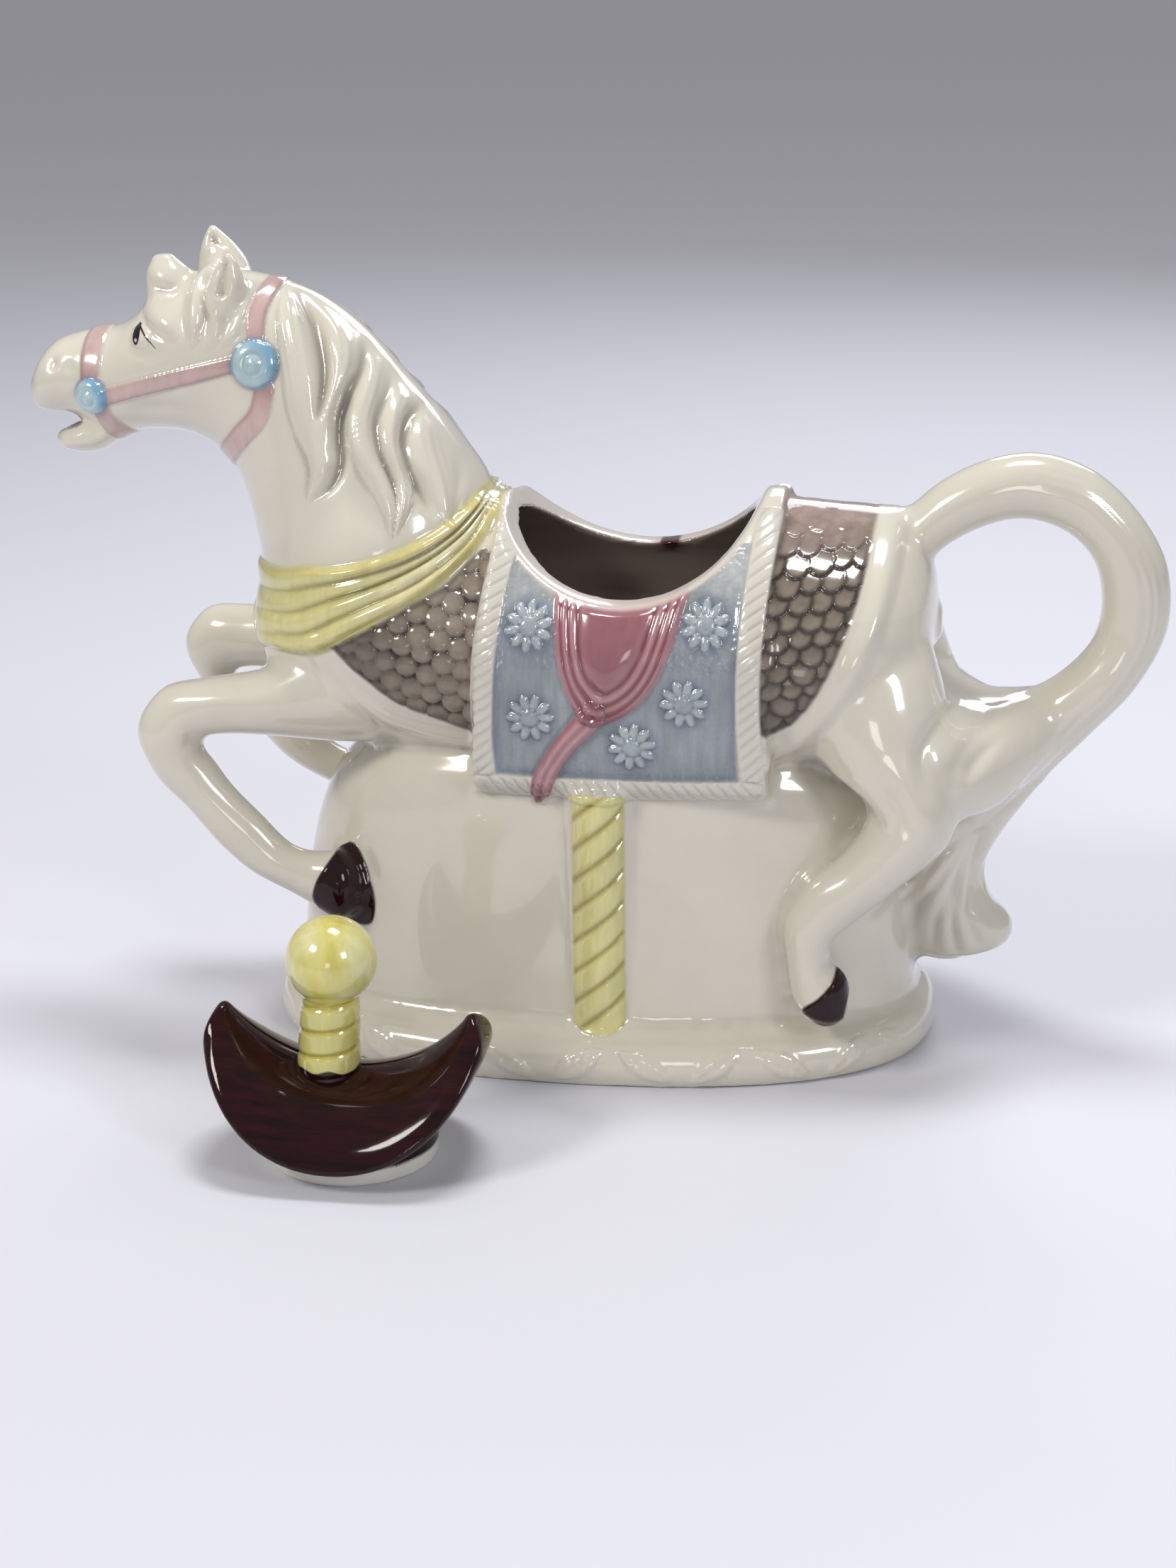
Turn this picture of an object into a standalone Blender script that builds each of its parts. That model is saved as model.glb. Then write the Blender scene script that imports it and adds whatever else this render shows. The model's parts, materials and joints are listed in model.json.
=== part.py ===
"""Carousel-horse teapot with a lift-off saddle lid, in glazed slip-cast earthenware.

The horse faces -X and stands on a hollow mound. Its neck and head are the spout, its
raised tail is the handle, and its saddle is the lid, which stands on its collar beside
the pot. The castings meet at luted joints. Z = 0 is the surface that all of it rests on.
"""
import math

import bmesh
import bpy
import numpy as np
from mathutils import Matrix, Vector

MM = 0.001

# Overall sizes of the pot: nose to tail, side to side of the barrel, base to ear tip
POT_LENGTH = 304 * MM
BARREL_WIDTH = 84 * MM
POT_HEIGHT = 216.5 * MM

# Walls of the hollow castings
WALL = 4.5 * MM
FLOOR = 5 * MM

# Foot of the mound
BASE_LENGTH = 183.5 * MM
BASE_DEPTH = 106 * MM
LIP_HEIGHT = 13 * MM

# Round pieces
HANDLE_SIDE = 17 * MM
POLE_DIAMETER = 15 * MM
POLE_X = 5 * MM
MOUTH_WIDTH = 10.6 * MM

# How far the saddle cloth stands out from the barrel
CLOTH_RELIEF = 2.2 * MM

# Saddle opening: a cut straight across the barrel, round in side view
DIP_RADIUS = 37.5 * MM
DIP_BOTTOM = 127.5 * MM
DIP_X = 10 * MM

# Lid
LID_X = -50 * MM
LID_STAND_OFF = 16 * MM
LID_THICKNESS = 15 * MM
LID_HALF_DEPTH = 27 * MM
HORN_RISE = 20 * MM
# Horn tips: half their distance apart, and their width, as shares of the underside's radius
# and of the seat's width; a low power starts the narrowing nearer the middle of the seat
HORN_SPREAD = 0.83
HORN_WIDTH = 0.2
HORN_TAPER_POWER = 2.6
UNDERSIDE_TURN = math.radians(76)
SEAT_CLEARANCE = 0.5 * MM
COLLAR_CLEARANCE = 8 * MM
COLLAR_DEPTH = 4 * MM
COLLAR_WALL = 4 * MM
COLLAR_OVAL = 0.95
BALL_DIAMETER = 23.4 * MM
POST_DIAMETER = 14.8 * MM
POST_RISE = 25 * MM
POST_OFFSET = -5.2 * MM
POST_LEAN = math.radians(3.5)
POST_NECK = 0.97

JOINT_GAP = 0.3 * MM
MERGE = 1e-6

# The outlines below are drawn on a pattern of this size and scaled to the sizes above
PATTERN_LENGTH, PATTERN_WIDTH, PATTERN_HEIGHT = 304 * MM, 84 * MM, 216.5 * MM
PATTERN_MOUTH = 10.6 * MM
PATTERN_POLE_OUT, PATTERN_POLE_TOP = 38.6 * MM, 80 * MM
SCALE = (POT_LENGTH / PATTERN_LENGTH, BARREL_WIDTH / PATTERN_WIDTH, POT_HEIGHT / PATTERN_HEIGHT)

# A station is one section: its low point x, z, its high point x, z, its y and half width
TORSO = [
    (-93.5, 109, -93.5, 117, 0, 7), (-88.5, 97, -90, 129, 0, 21), (-82, 90.5, -83, 140, 0, 28.5),
    (-72, 85.5, -72, 149, 0, 34), (-55, 80, -55, 152, 0, 38.5), (-30, 76, -30, 148, 0, 40.5),
    (-5, 74, -5, 147.5, 0, 41), (20, 74, 20, 147.5, 0, 41), (46, 76, 46, 148.5, 0, 41),
    (62, 79, 62, 147.5, 0, 40), (76, 84, 77, 145.5, 0, 35.5), (85, 93, 86.5, 138, 0, 27),
    (90, 108, 91, 125, 0, 12), (91.5, 113, 91.5, 119, 0, 4)]
MOUND = [
    (-85.5, 6, 86.5, 6, 0, 42.5), (-85, 20, 86, 20, 0, 42), (-83.5, 34, 85.5, 34, 0, 41.5),
    (-81.5, 48, 84.5, 48, 0, 41), (-78.5, 60, 83, 60, 0, 40.5), (-74, 71, 80, 71, 0, 40),
    (-67, 80, 74, 80, 0, 38.5), (-56, 88, 64, 88, 0, 33), (-44, 92, 50, 92, 0, 26)]
NECK = [
    (-80, 106, -34, 128, 0, 30), (-90.5, 122, -28.5, 147, 0, 34.5), (-92.5, 135, -40, 166.5, 0, 28.5),
    (-95.5, 148, -50, 178, 0, 23.5), (-100, 157, -61, 190.5, 0, 20.5), (-108, 162, -73, 199.5, 0, 18.5),
    (-118, 163.5, -90, 205.5, 0, 18), (-127, 162.5, -106, 206, 0, 16.5), (-132, 162, -119, 198.5, 0, 14.5),
    (-137, 164, -129, 191.5, 0, 12.5), (-142, 167, -139, 189.5, 0, 11.3), (-148, 168.5, -148, 185.5, 0, 10.3),
    (-152.3, 170.5, -152.3, 179.5, 0, 7), (-154, 173.5, -154, 175.5, 0, 2.5)]
CLOTH = [
    (-25.4, 78.7, -20.4, 149.3, 0, 40.8), (-10, 78.7, -8, 147.8, 0, 41.1), (12, 78.7, 12, 147.8, 0, 41.2),
    (32, 78.7, 32, 148.3, 0, 41.1), (46.6, 78.7, 47.4, 148.3, 0, 40.8)]
LOWER_JAW = [
    (-116, 168, -112, 178, 0, 10), (-128, 161.5, -126, 173, 0, 9), (-136, 157.2, -137, 167, 0, 8),
    (-142, 156.8, -143, 165, 0, 7.6), (-146.5, 158, -146.5, 163.6, 0, 6), (-148.3, 160, -148.3, 161.6, 0, 2.5)]
SPOUT_THROAT = [
    (-127, 167.5, -121, 181, 0, 7.5), (-136, 164, -133, 174, 0, 6),
    (-143, 163, -142.5, 170.4, 0, 5.3), (-157, 162.8, -157, 169.4, 0, 5.3)]
NEAR_EAR = [
    (-100.5, 197, -90, 199.5, -11, 5.5), (-100.5, 202.5, -89.8, 204, -12, 5), (-98.3, 207.5, -91, 208.5, -12.7, 3.8),
    (-95.8, 211.5, -92.5, 211.9, -13, 1.9), (-94.5, 213, -93.7, 213.1, -13, 0.5)]
OFF_EAR = [
    (-110.5, 200, -94, 203, 11, 5.8), (-109.8, 206, -96.5, 208, 12, 5.2), (-108.6, 211.5, -100.5, 212.6, 12.7, 3.8),
    (-107, 215.2, -104.3, 215.7, 13, 2), (-106.3, 216.4, -105.3, 216.5, 13, 0.6)]
FORELOCK = [
    (-121, 190, -104, 198, 0, 9), (-120.6, 200, -107, 204, 0, 7), (-120, 206.5, -109.5, 207.5, 0, 5),
    (-118, 210, -113, 210.3, 0, 2)]
HIND_LEG = [
    (54, 102, 90, 110, 20, 19), (60, 86, 98, 85, 25, 17.5), (74, 73, 96, 66, 31, 13),
    (68, 62, 83, 53.5, 35, 10), (58, 53, 70.5, 43, 37.5, 8), (53.2, 43, 66, 38.5, 38.5, 7.3),
    (54.3, 33, 66, 34, 39, 7), (55.5, 24.5, 70, 28.5, 39.5, 7.2), (58.5, 19.5, 69.5, 18, 40, 6.2),
    (61.5, 17.3, 66.5, 16.3, 40, 3)]
NEAR_FORELEG = [
    (-58, 84, -58, 116, -21, 13), (-70, 85, -74, 111, -24.5, 11.5), (-84, 87, -87, 105, -28, 9.5),
    (-97, 87.5, -102, 102.5, -30, 8), (-102.5, 86.5, -114, 99.5, -30.5, 7.8), (-103.5, 83.5, -121, 89, -31, 7.8),
    (-101, 80, -117.5, 77, -31, 7.2), (-96, 73, -108, 66.5, -31.5, 6.3), (-88, 65, -99, 56, -32, 5.8),
    (-80, 57, -90, 48.5, -32, 5.8), (-73, 55.5, -80, 43.5, -32, 6), (-68, 56, -74.5, 40.5, -32, 6.8),
    (-62.5, 52, -66, 37, -32, 7), (-60.3, 47.5, -61, 40, -31, 4)]
OFF_FORELEG = [
    (-58, 84, -58, 116, 21, 13), (-72, 86, -74, 114, 22.5, 11.5), (-88, 89, -88, 110, 22.5, 9.5),
    (-102, 90.5, -103, 108.5, 22, 8.3), (-108.5, 89.5, -117, 107, 22, 8), (-109.5, 87, -123.3, 98, 22, 7.8),
    (-106.5, 83.5, -119, 86, 22, 7.2), (-96, 81, -104.5, 73.5, 22.5, 6.3), (-87.5, 72, -95.5, 63, 24, 5.8),
    (-80.5, 65, -87.5, 56.5, 27, 5.8), (-74, 62, -79.5, 51.5, 30, 6), (-68, 60, -73.5, 46, 32, 6.8),
    (-62, 56, -65, 43, 32, 6.8), (-60, 52, -60.5, 46, 31, 4)]
HANDLE = [
    (76, 126, 73, 140), (87, 132, 82, 146.5), (94, 137.5, 89, 152.5), (102, 141.7, 99, 158),
    (111, 143.7, 113, 161), (121, 141.3, 128, 157), (129, 134, 140.5, 146), (132, 122, 149, 130.5),
    (130.5, 113, 149.5, 115), (125, 105, 142.5, 99.5), (117, 98.7, 131, 86), (107, 95.5, 119, 72.3),
    (100, 92, 112, 62)]
TAIL_FAN = [
    (119, 72.3, 107, 95.5, 0, 10.5), (109, 57.5, 88, 94, 0, 13), (104.7, 47, 80, 70, 0, 15),
    (107, 38.5, 78, 50, 0, 15.5), (112.5, 31.5, 80, 36, 0, 14), (110, 24.5, 84, 24, 0, 11),
    (101, 21.5, 90, 20.5, 0, 5)]

# The neck casting is luted to the body along this line of the side view
NECK_SEAM = ((-92, 118), (-29, 149.5))

# Rings of the foot: share of the lip's height, and how far in from the widest line in millimetres
FOOT_RINGS = [(0, 1.2), (0.15, 0.1), (0.5, 0), (0.8, 1.6), (0.95, 4.2), (1, 8)]

# End section of a horn: how far its corners lie from the last full one, and its half width
HORN_TIP = dict(low=(1.2, 2), high=(-1, 1.5), half_width=1.5)

# How square the sections are: 2 is an ellipse, more is squarer
FOOT_POWER = 2.4
BARREL = dict(power_up=1.7, power_low=2.3)
HANGING = dict(waist=0.46, power_up=1.75, power_low=9)
SEAT = dict(waist=0.25, power_up=2.0, power_low=2.6)
GLAZE = dict(colour=(0.60, 0.56, 0.50), roughness=0.12)
BROWN_GLAZE = dict(colour=(0.035, 0.006, 0.009), roughness=0.08)
YELLOW_GLAZE = dict(colour=(0.66, 0.60, 0.22), roughness=0.12)


def clear_scene():
    for thing in list(bpy.data.objects):
        bpy.data.objects.remove(thing)


def smooth_rows(rows, count):
    """Rows evenly spaced on a smooth curve through the given ones."""
    rows = np.array(rows, float)
    knots = np.concatenate([[0], np.cumsum(np.linalg.norm(np.diff(rows[:, :5], axis=0), axis=1))])
    slope = np.gradient(rows, knots, axis=0)
    place = np.linspace(0, knots[-1], count)
    i = np.clip(np.searchsorted(knots, place) - 1, 0, len(knots) - 2)
    span = (knots[i + 1] - knots[i])[:, None]
    s = (place - knots[i])[:, None] / span
    start = (1 + 2 * s) * (1 - s) ** 2 * rows[i] + s * (1 - s) ** 2 * span * slope[i]
    end = s ** 2 * (3 - 2 * s) * rows[i + 1] + s ** 2 * (s - 1) * span * slope[i + 1]
    return start + end


def power(value, exponent):
    return math.copysign(abs(value) ** exponent, value)


def section_point(row, turn, waist, power_up, power_low, grow):
    """A point at an angle on one station's rounded section, grown or shrunk all round."""
    low = Vector((row[0], 0, row[1]))
    high = Vector((row[2], 0, row[3]))
    rise = high - low
    way = rise.normalized()
    low, high = low - way * grow, high + way * grow
    middle = low.lerp(high, waist)
    side, up = math.cos(turn), math.sin(turn)
    bulge = 2 / (power_up if up > 0 else power_low)
    reach = (high - middle) if up > 0 else (middle - low)
    return middle + reach * power(up, bulge) + Vector((0, row[4] + (row[5] + grow) * power(side, bulge), 0))


def end_shift(end, beside, grow):
    """How far a grown loft's end section moves on along its path."""
    way = np.array(((end[0] + end[2]) / 2, (end[1] + end[3]) / 2, end[4]))
    way -= np.array(((beside[0] + beside[2]) / 2, (beside[1] + beside[3]) / 2, beside[4]))
    x, z, y = way / np.linalg.norm(way) * grow
    return np.array((x, z, x, z, y, 0))


def new_object(name, bm):
    mesh = bpy.data.meshes.new(name)
    bm.to_mesh(mesh)
    bm.free()
    thing = bpy.data.objects.new(name, mesh)
    bpy.context.scene.collection.objects.link(thing)
    return thing


def loft(name, stations, around, along, waist=0.5, power_up=2.0, power_low=2.0, grow=0.0, scale=SCALE):
    """A closed skin over stations given on the pattern, in millimetres before scaling."""
    sx, sy, sz = (value * MM for value in scale)
    rows = smooth_rows(stations, along + 1) * np.array((sx, sz, sx, sz, sy, sy))
    for end, beside in ((0, 1), (-1, -2)):
        rows[end] += end_shift(rows[end], rows[beside], grow)
    bm = bmesh.new()
    bmesh.ops.create_grid(bm, x_segments=around, y_segments=along, size=0.5)
    for vertex in bm.verts:
        row = rows[round((vertex.co.y + 0.5) * along)]
        turn = 2 * math.pi * (vertex.co.x + 0.5)
        vertex.co = section_point(row, turn, waist, power_up, power_low, grow)
    bmesh.ops.remove_doubles(bm, verts=bm.verts, dist=MERGE)
    bmesh.ops.holes_fill(bm, edges=[edge for edge in bm.edges if edge.is_boundary])
    bmesh.ops.recalc_face_normals(bm, faces=bm.faces)
    return new_object(name, bm)


def block(name, low, high):
    bm = bmesh.new()
    bmesh.ops.create_cube(bm, size=1)
    low, high = Vector(low), Vector(high)
    size = high - low
    bmesh.ops.scale(bm, vec=size, verts=bm.verts)
    bmesh.ops.translate(bm, vec=(low + high) / 2, verts=bm.verts)
    return new_object(name, bm)


def bar_y(name, x, z, radius, half_length, segments=56):
    """A round bar lying along Y."""
    bm = bmesh.new()
    bmesh.ops.create_cone(bm, cap_ends=True, segments=segments, radius1=radius, radius2=radius,
                          depth=2 * half_length, matrix=Matrix.Rotation(math.pi / 2, 4, "X"))
    bmesh.ops.translate(bm, vec=(x, 0, z), verts=bm.verts)
    return new_object(name, bm)


def combine(name, base, tools, operation="UNION", keep=()):
    """The solid left when tools join, cut or limit the base one after another."""
    for tool in tools:
        change = base.modifiers.new(operation.lower(), "BOOLEAN")
        change.operation = operation
        change.solver = "EXACT"
        change.object = tool
    bpy.context.view_layer.update()
    shape = base.evaluated_get(bpy.context.evaluated_depsgraph_get())
    mesh = bpy.data.meshes.new_from_object(shape)
    result = bpy.data.objects.new(name, mesh)
    bpy.context.scene.collection.objects.link(result)
    for used in [base, *tools]:
        if used not in keep:
            bpy.data.objects.remove(used)
    return result


def mirrored(stations):
    return [(*row[:4], -row[4], row[5]) for row in stations]


def foot(grow=0.0):
    """Rounded slab under the mound, standing on Z = 0."""
    half_length, half_depth = BASE_LENGTH / 2 / MM, BASE_DEPTH / 2 / MM
    top = LIP_HEIGHT / MM
    stations = [(-half_length + inside, top * share, half_length - inside, top * share, 0, half_depth - inside)
                for share, inside in FOOT_RINGS]
    return loft("foot", stations, 48, 5, power_up=FOOT_POWER, power_low=FOOT_POWER, grow=grow, scale=(1, 1, 1))


def pole(side):
    """Carousel pole in half relief on the mound, from inside the foot up to the cloth."""
    bm = bmesh.new()
    top, bottom = PATTERN_POLE_TOP * SCALE[2], LIP_HEIGHT / 2
    bmesh.ops.create_cone(bm, cap_ends=True, segments=20, radius1=POLE_DIAMETER / 2,
                          radius2=POLE_DIAMETER / 2, depth=top - bottom)
    out = side * PATTERN_POLE_OUT * SCALE[1]
    bmesh.ops.translate(bm, vec=(POLE_X * SCALE[0], out, (top + bottom) / 2), verts=bm.verts)
    return new_object("pole", bm)


def body_form(grow):
    """Outer form of the whole horse without its forelegs and tail loop, as one solid."""
    torso = loft("torso", TORSO, 40, 22, grow=grow, **BARREL)
    parts = [
        loft("mound", MOUND, 40, 9, power_up=FOOT_POWER, power_low=FOOT_POWER, grow=grow),
        foot(grow),
        loft("neck", NECK, 24, 24, grow=grow),
        loft("jaw", LOWER_JAW, 12, 7, grow=grow),
        loft("ear_near", NEAR_EAR, 10, 6, grow=grow),
        loft("ear_off", OFF_EAR, 10, 6, grow=grow),
        loft("forelock", FORELOCK, 10, 4, grow=grow),
        loft("hind_near", mirrored(HIND_LEG), 12, 16, grow=grow),
        loft("hind_off", HIND_LEG, 12, 16, grow=grow),
        loft("tail_fan", TAIL_FAN, 16, 11, grow=grow),
        loft("cloth", CLOTH, 48, 8, grow=CLOTH_RELIEF, **HANGING),
        pole(-1), pole(1)]
    return combine("form", torso, parts)


def above_seam(raise_by):
    """Everything above the neck joint's plane, raised by a little to leave the joint's gap."""
    (x1, z1), (x2, z2) = NECK_SEAM
    front = Vector((x1 * SCALE[0], 0, z1 * SCALE[2])) * MM
    back = Vector((x2 * SCALE[0], 0, z2 * SCALE[2])) * MM
    along = (back - front).normalized()
    up = Vector((-along.z, 0, along.x))
    size = POT_LENGTH
    half = block("above", (-size, -size, 0), (size, size, size))
    turn = Matrix((along, (0, 1, 0), up)).transposed().to_4x4()
    half.data.transform(Matrix.Translation(front + up * raise_by) @ turn)
    return half


def hollow():
    """Inside of the pot: barrel, mound and the way up the neck to the mouth."""
    barrel = loft("barrel_hollow", TORSO[1:-2], 28, 11, grow=-WALL, **BARREL)
    raised = [(row[0], max(row[1], FLOOR / MM / SCALE[2]), row[2], max(row[3], FLOOR / MM / SCALE[2]), *row[4:])
              for row in MOUND]
    mound = loft("mound_hollow", raised, 28, 6, power_up=FOOT_POWER, power_low=FOOT_POWER, grow=-WALL)
    return combine("hollow", barrel, [mound, spout()])


def spout():
    """Way through the neck and head, narrowing to the mouth."""
    inset = WALL / MM
    walls = []
    for row in NECK[:8]:
        low, high = Vector((row[0], row[1])), Vector((row[2], row[3]))
        way = (high - low).normalized() * inset
        low, high = low + way, high - way
        walls.append((low.x, low.y, high.x, high.y, 0, row[5] - inset))
    widen = MOUTH_WIDTH / PATTERN_MOUTH / SCALE[1]
    throat = [(*row[:5], row[5] * widen) for row in SPOUT_THROAT]
    return loft("spout", walls + throat, 14, 18)


def saddle_dip():
    return bar_y("dip", DIP_X, DIP_BOTTOM + DIP_RADIUS, DIP_RADIUS, BARREL_WIDTH)


def rim_half_width():
    """Half width of the barrel's inside where the saddle opening is widest."""
    row = [value * MM for value in TORSO[7]]
    top, bottom = row[3] * SCALE[2], row[1] * SCALE[2]
    middle = (top + bottom) / 2
    share = min((DIP_BOTTOM - middle) / (top - middle), 1)
    roundness = BARREL["power_up"]
    return row[5] * SCALE[1] * (1 - share ** roundness) ** (1 / roundness) - WALL


def shade(thing, name, finish):
    """Smooth shading and the piece's own glaze; the object takes its node's name."""
    thing.name = name
    thing.data.name = name
    material = bpy.data.materials.new(f"{name}_glaze")
    material.use_nodes = True
    shader = material.node_tree.nodes["Principled BSDF"]
    shader.inputs["Base Color"].default_value = (*finish["colour"], 1)
    shader.inputs["Roughness"].default_value = finish["roughness"]
    shader.inputs["Metallic"].default_value = 0
    thing.data.materials.clear()
    thing.data.materials.append(material)
    thing.data.shade_smooth()
    thing.data.set_sharp_from_angle(angle=math.radians(40))
    return thing


def make_pot():
    """Body and neck castings, cut apart along the neck joint."""
    form = body_form(0)
    neck_part = above_seam(JOINT_GAP / 2)
    neck = combine("neck", form, [neck_part], "INTERSECT", keep=(form,))
    body = combine("body", form, [above_seam(-JOINT_GAP / 2)], "DIFFERENCE")
    neck = combine("neck_head", neck, [spout()], "DIFFERENCE")
    body = combine("pot_body", body, [hollow(), saddle_dip()], "DIFFERENCE")
    shade(body, "pot_body", GLAZE)
    shade(neck, "neck_head", GLAZE)


def make_limbs():
    """Forelegs and tail loop, trimmed where they are luted to the body."""
    seat = body_form(JOINT_GAP)
    half_side = HANDLE_SIDE / 2 / MM / SCALE[1]
    handle = [(*row, 0, half_side * (1 if row[3] > 100 else 1.2)) for row in HANDLE]
    limbs = {"foreleg_near": loft("near", NEAR_FORELEG, 12, 22),
             "foreleg_off": loft("off", OFF_FORELEG, 12, 22),
             "tail_handle": loft("loop", handle, 14, 28)}
    for name, limb in limbs.items():
        shade(largest(combine(name, limb, [seat], "DIFFERENCE", keep=(seat,))), name, GLAZE)
    bpy.data.objects.remove(seat)


def largest(thing):
    """The biggest piece of a cut solid, without what the cut left inside its neighbour."""
    bm = bmesh.new()
    bm.from_mesh(thing.data)
    left = set(bm.verts)
    groups = []
    while left:
        group, edge_of = set(), [left.pop()]
        while edge_of:
            vertex = edge_of.pop()
            group.add(vertex)
            near = {edge.other_vert(vertex) for edge in vertex.link_edges} & left
            left -= near
            edge_of.extend(near)
        groups.append(group)
    groups.sort(key=len)
    for group in groups[:-1]:
        bmesh.ops.delete(bm, geom=list(group), context="VERTS")
    bm.to_mesh(thing.data)
    bm.free()
    return thing


def lid_crescent(grow=0.0):
    """Saddle: a crescent in side view, flat across below and domed above."""
    outer = DIP_RADIUS - SEAT_CLEARANCE
    bottom = COLLAR_DEPTH
    outer_centre = bottom + outer
    top = bottom + LID_THICKNESS
    spread = HORN_SPREAD * outer
    inner = (spread ** 2 + HORN_RISE ** 2) / (2 * HORN_RISE)
    stations = []
    for share in np.linspace(-1, 1, 15):
        out_turn, in_turn = share * UNDERSIDE_TURN, share * math.asin(spread / inner)
        width = LID_HALF_DEPTH * (1 - (1 - HORN_WIDTH) * abs(share) ** HORN_TAPER_POWER)
        stations.append((outer * math.sin(out_turn), outer_centre - outer * math.cos(out_turn),
                         inner * math.sin(in_turn), top + inner * (1 - math.cos(in_turn)), 0, width))
    rows = [tuple(value / MM for value in row) for row in stations]
    rows = [horn_tip(rows[0], 1), *rows, horn_tip(rows[-1], -1)]
    return loft("crescent", rows, 24, 22, grow=grow, scale=(1, 1, 1), **SEAT)


def horn_tip(row, way):
    """Small end section that rounds off a horn beside its last full one."""
    (low_x, low_z), (high_x, high_z) = HORN_TIP["low"], HORN_TIP["high"]
    return (row[0] + way * low_x, row[1] + low_z, row[2] + way * high_x, row[3] + high_z, 0, HORN_TIP["half_width"])


def collar(outset, bottom, top):
    """Oval tube that drops into the saddle opening, or its hollow."""
    half = rim_half_width() - COLLAR_CLEARANCE + outset
    rows = [(-half, level, half, level, 0, half * COLLAR_OVAL) for level in np.linspace(bottom, top, 3)]
    rows = [tuple(value / MM for value in row) for row in rows]
    return loft("collar", rows, 32, 2, scale=(1, 1, 1))


def make_lid():
    place = Matrix.Translation((LID_X, -(BASE_DEPTH / 2 + LID_STAND_OFF + LID_HALF_DEPTH), 0))
    top = COLLAR_DEPTH + LID_THICKNESS
    saddle = combine("saddle", lid_crescent(), [collar(0, 0, COLLAR_DEPTH + LID_THICKNESS * 0.6)])
    saddle = combine("saddle", saddle, [collar(-COLLAR_WALL, -COLLAR_DEPTH, top - WALL)], "DIFFERENCE")
    saddle.data.transform(place)
    shade(saddle, "lid_saddle", BROWN_GLAZE)
    seat = lid_crescent(JOINT_GAP)
    knob = combine("knob", turned_knob(top), [seat], "DIFFERENCE")
    knob.data.transform(place)
    shade(largest(knob), "lid_knob", YELLOW_GLAZE)


def turned_knob(top):
    """Post with a ball on it, leaning a little and set off the middle of the saddle."""
    ball, post = BALL_DIAMETER / 2, POST_DIAMETER / 2
    reach = math.sqrt(ball ** 2 - (post * POST_NECK) ** 2)
    centre = POST_RISE + reach
    root = -WALL
    profile = [(0, root), (post, root), (post, POST_RISE / 2), (post * POST_NECK, POST_RISE)]
    start = math.acos(reach / ball)
    for step in range(1, 11):
        turn = start + (math.pi - start) * step / 10
        profile.append((ball * math.sin(turn), centre - ball * math.cos(turn)))
    bm = bmesh.new()
    rim = [bm.verts.new((radius, 0, level)) for radius, level in profile]
    edges = [bm.edges.new(pair) for pair in zip(rim, rim[1:])]
    bmesh.ops.spin(bm, geom=rim + edges, cent=(0, 0, 0), axis=(0, 0, 1), angle=2 * math.pi, steps=24, use_merge=True)
    bmesh.ops.remove_doubles(bm, verts=bm.verts, dist=MERGE)
    bmesh.ops.recalc_face_normals(bm, faces=bm.faces)
    knob = new_object("turned", bm)
    knob.data.transform(Matrix.Translation((POST_OFFSET, 0, top)) @ Matrix.Rotation(POST_LEAN, 4, "Y"))
    return knob


clear_scene()
make_pot()
make_limbs()
make_lid()
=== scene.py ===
"""Glazed slip-cast teapot shaped as a carousel horse, its saddle lid standing beside it."""
import json
import math

import bmesh
import bpy
import numpy as np
from mathutils import Matrix, Vector
from mathutils.kdtree import KDTree

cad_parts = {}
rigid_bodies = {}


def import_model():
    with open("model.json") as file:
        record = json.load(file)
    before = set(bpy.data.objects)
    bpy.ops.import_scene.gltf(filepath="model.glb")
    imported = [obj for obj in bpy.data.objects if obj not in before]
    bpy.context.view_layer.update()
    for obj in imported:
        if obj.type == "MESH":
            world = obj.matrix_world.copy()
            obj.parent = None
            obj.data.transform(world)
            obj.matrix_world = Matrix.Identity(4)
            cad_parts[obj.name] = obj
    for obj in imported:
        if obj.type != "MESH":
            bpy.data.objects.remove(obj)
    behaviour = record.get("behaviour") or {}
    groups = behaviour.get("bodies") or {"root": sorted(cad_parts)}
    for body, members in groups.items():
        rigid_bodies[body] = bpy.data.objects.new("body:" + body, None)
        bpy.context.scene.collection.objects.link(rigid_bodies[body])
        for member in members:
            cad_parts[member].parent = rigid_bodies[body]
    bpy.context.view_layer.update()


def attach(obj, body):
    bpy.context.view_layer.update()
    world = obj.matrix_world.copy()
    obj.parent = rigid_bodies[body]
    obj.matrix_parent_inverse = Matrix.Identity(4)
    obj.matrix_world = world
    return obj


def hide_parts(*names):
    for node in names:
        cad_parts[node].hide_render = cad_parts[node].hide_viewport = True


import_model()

MM = 0.001
FINE = 0.68          # grain of the fused form, in millimetres
FILLET = 1.4                                # slip rounds every inside corner this much

# ---------------------------------------------------------------- camera, light and ground
camera = bpy.data.objects.new("camera", bpy.data.cameras.new("camera"))
bpy.context.scene.collection.objects.link(camera)
camera.data.sensor_width = 36
camera.data.lens = 62.95
camera.data.clip_start = 0.01
right = Vector((0.98745, 0.15715, -0.01591))
down = Vector((0.03711, -0.32872, -0.94370))
ahead = Vector((-0.15353, 0.93126, -0.33043))
turn = Matrix((right, -down, -ahead)).transposed().to_4x4()
camera.matrix_world = Matrix.Translation((0.11148, -0.70182, 0.31524)) @ turn
bpy.context.scene.camera = camera
bpy.context.scene.view_settings.view_transform = "Standard"


def linear(code):
    """sRGB hex colour as linear red, green, blue."""
    parts = [int(code[i:i + 2], 16) / 255 for i in (1, 3, 5)]
    return tuple(p / 12.92 if p <= 0.04045 else ((p + 0.055) / 1.055) ** 2.4 for p in parts)


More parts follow.
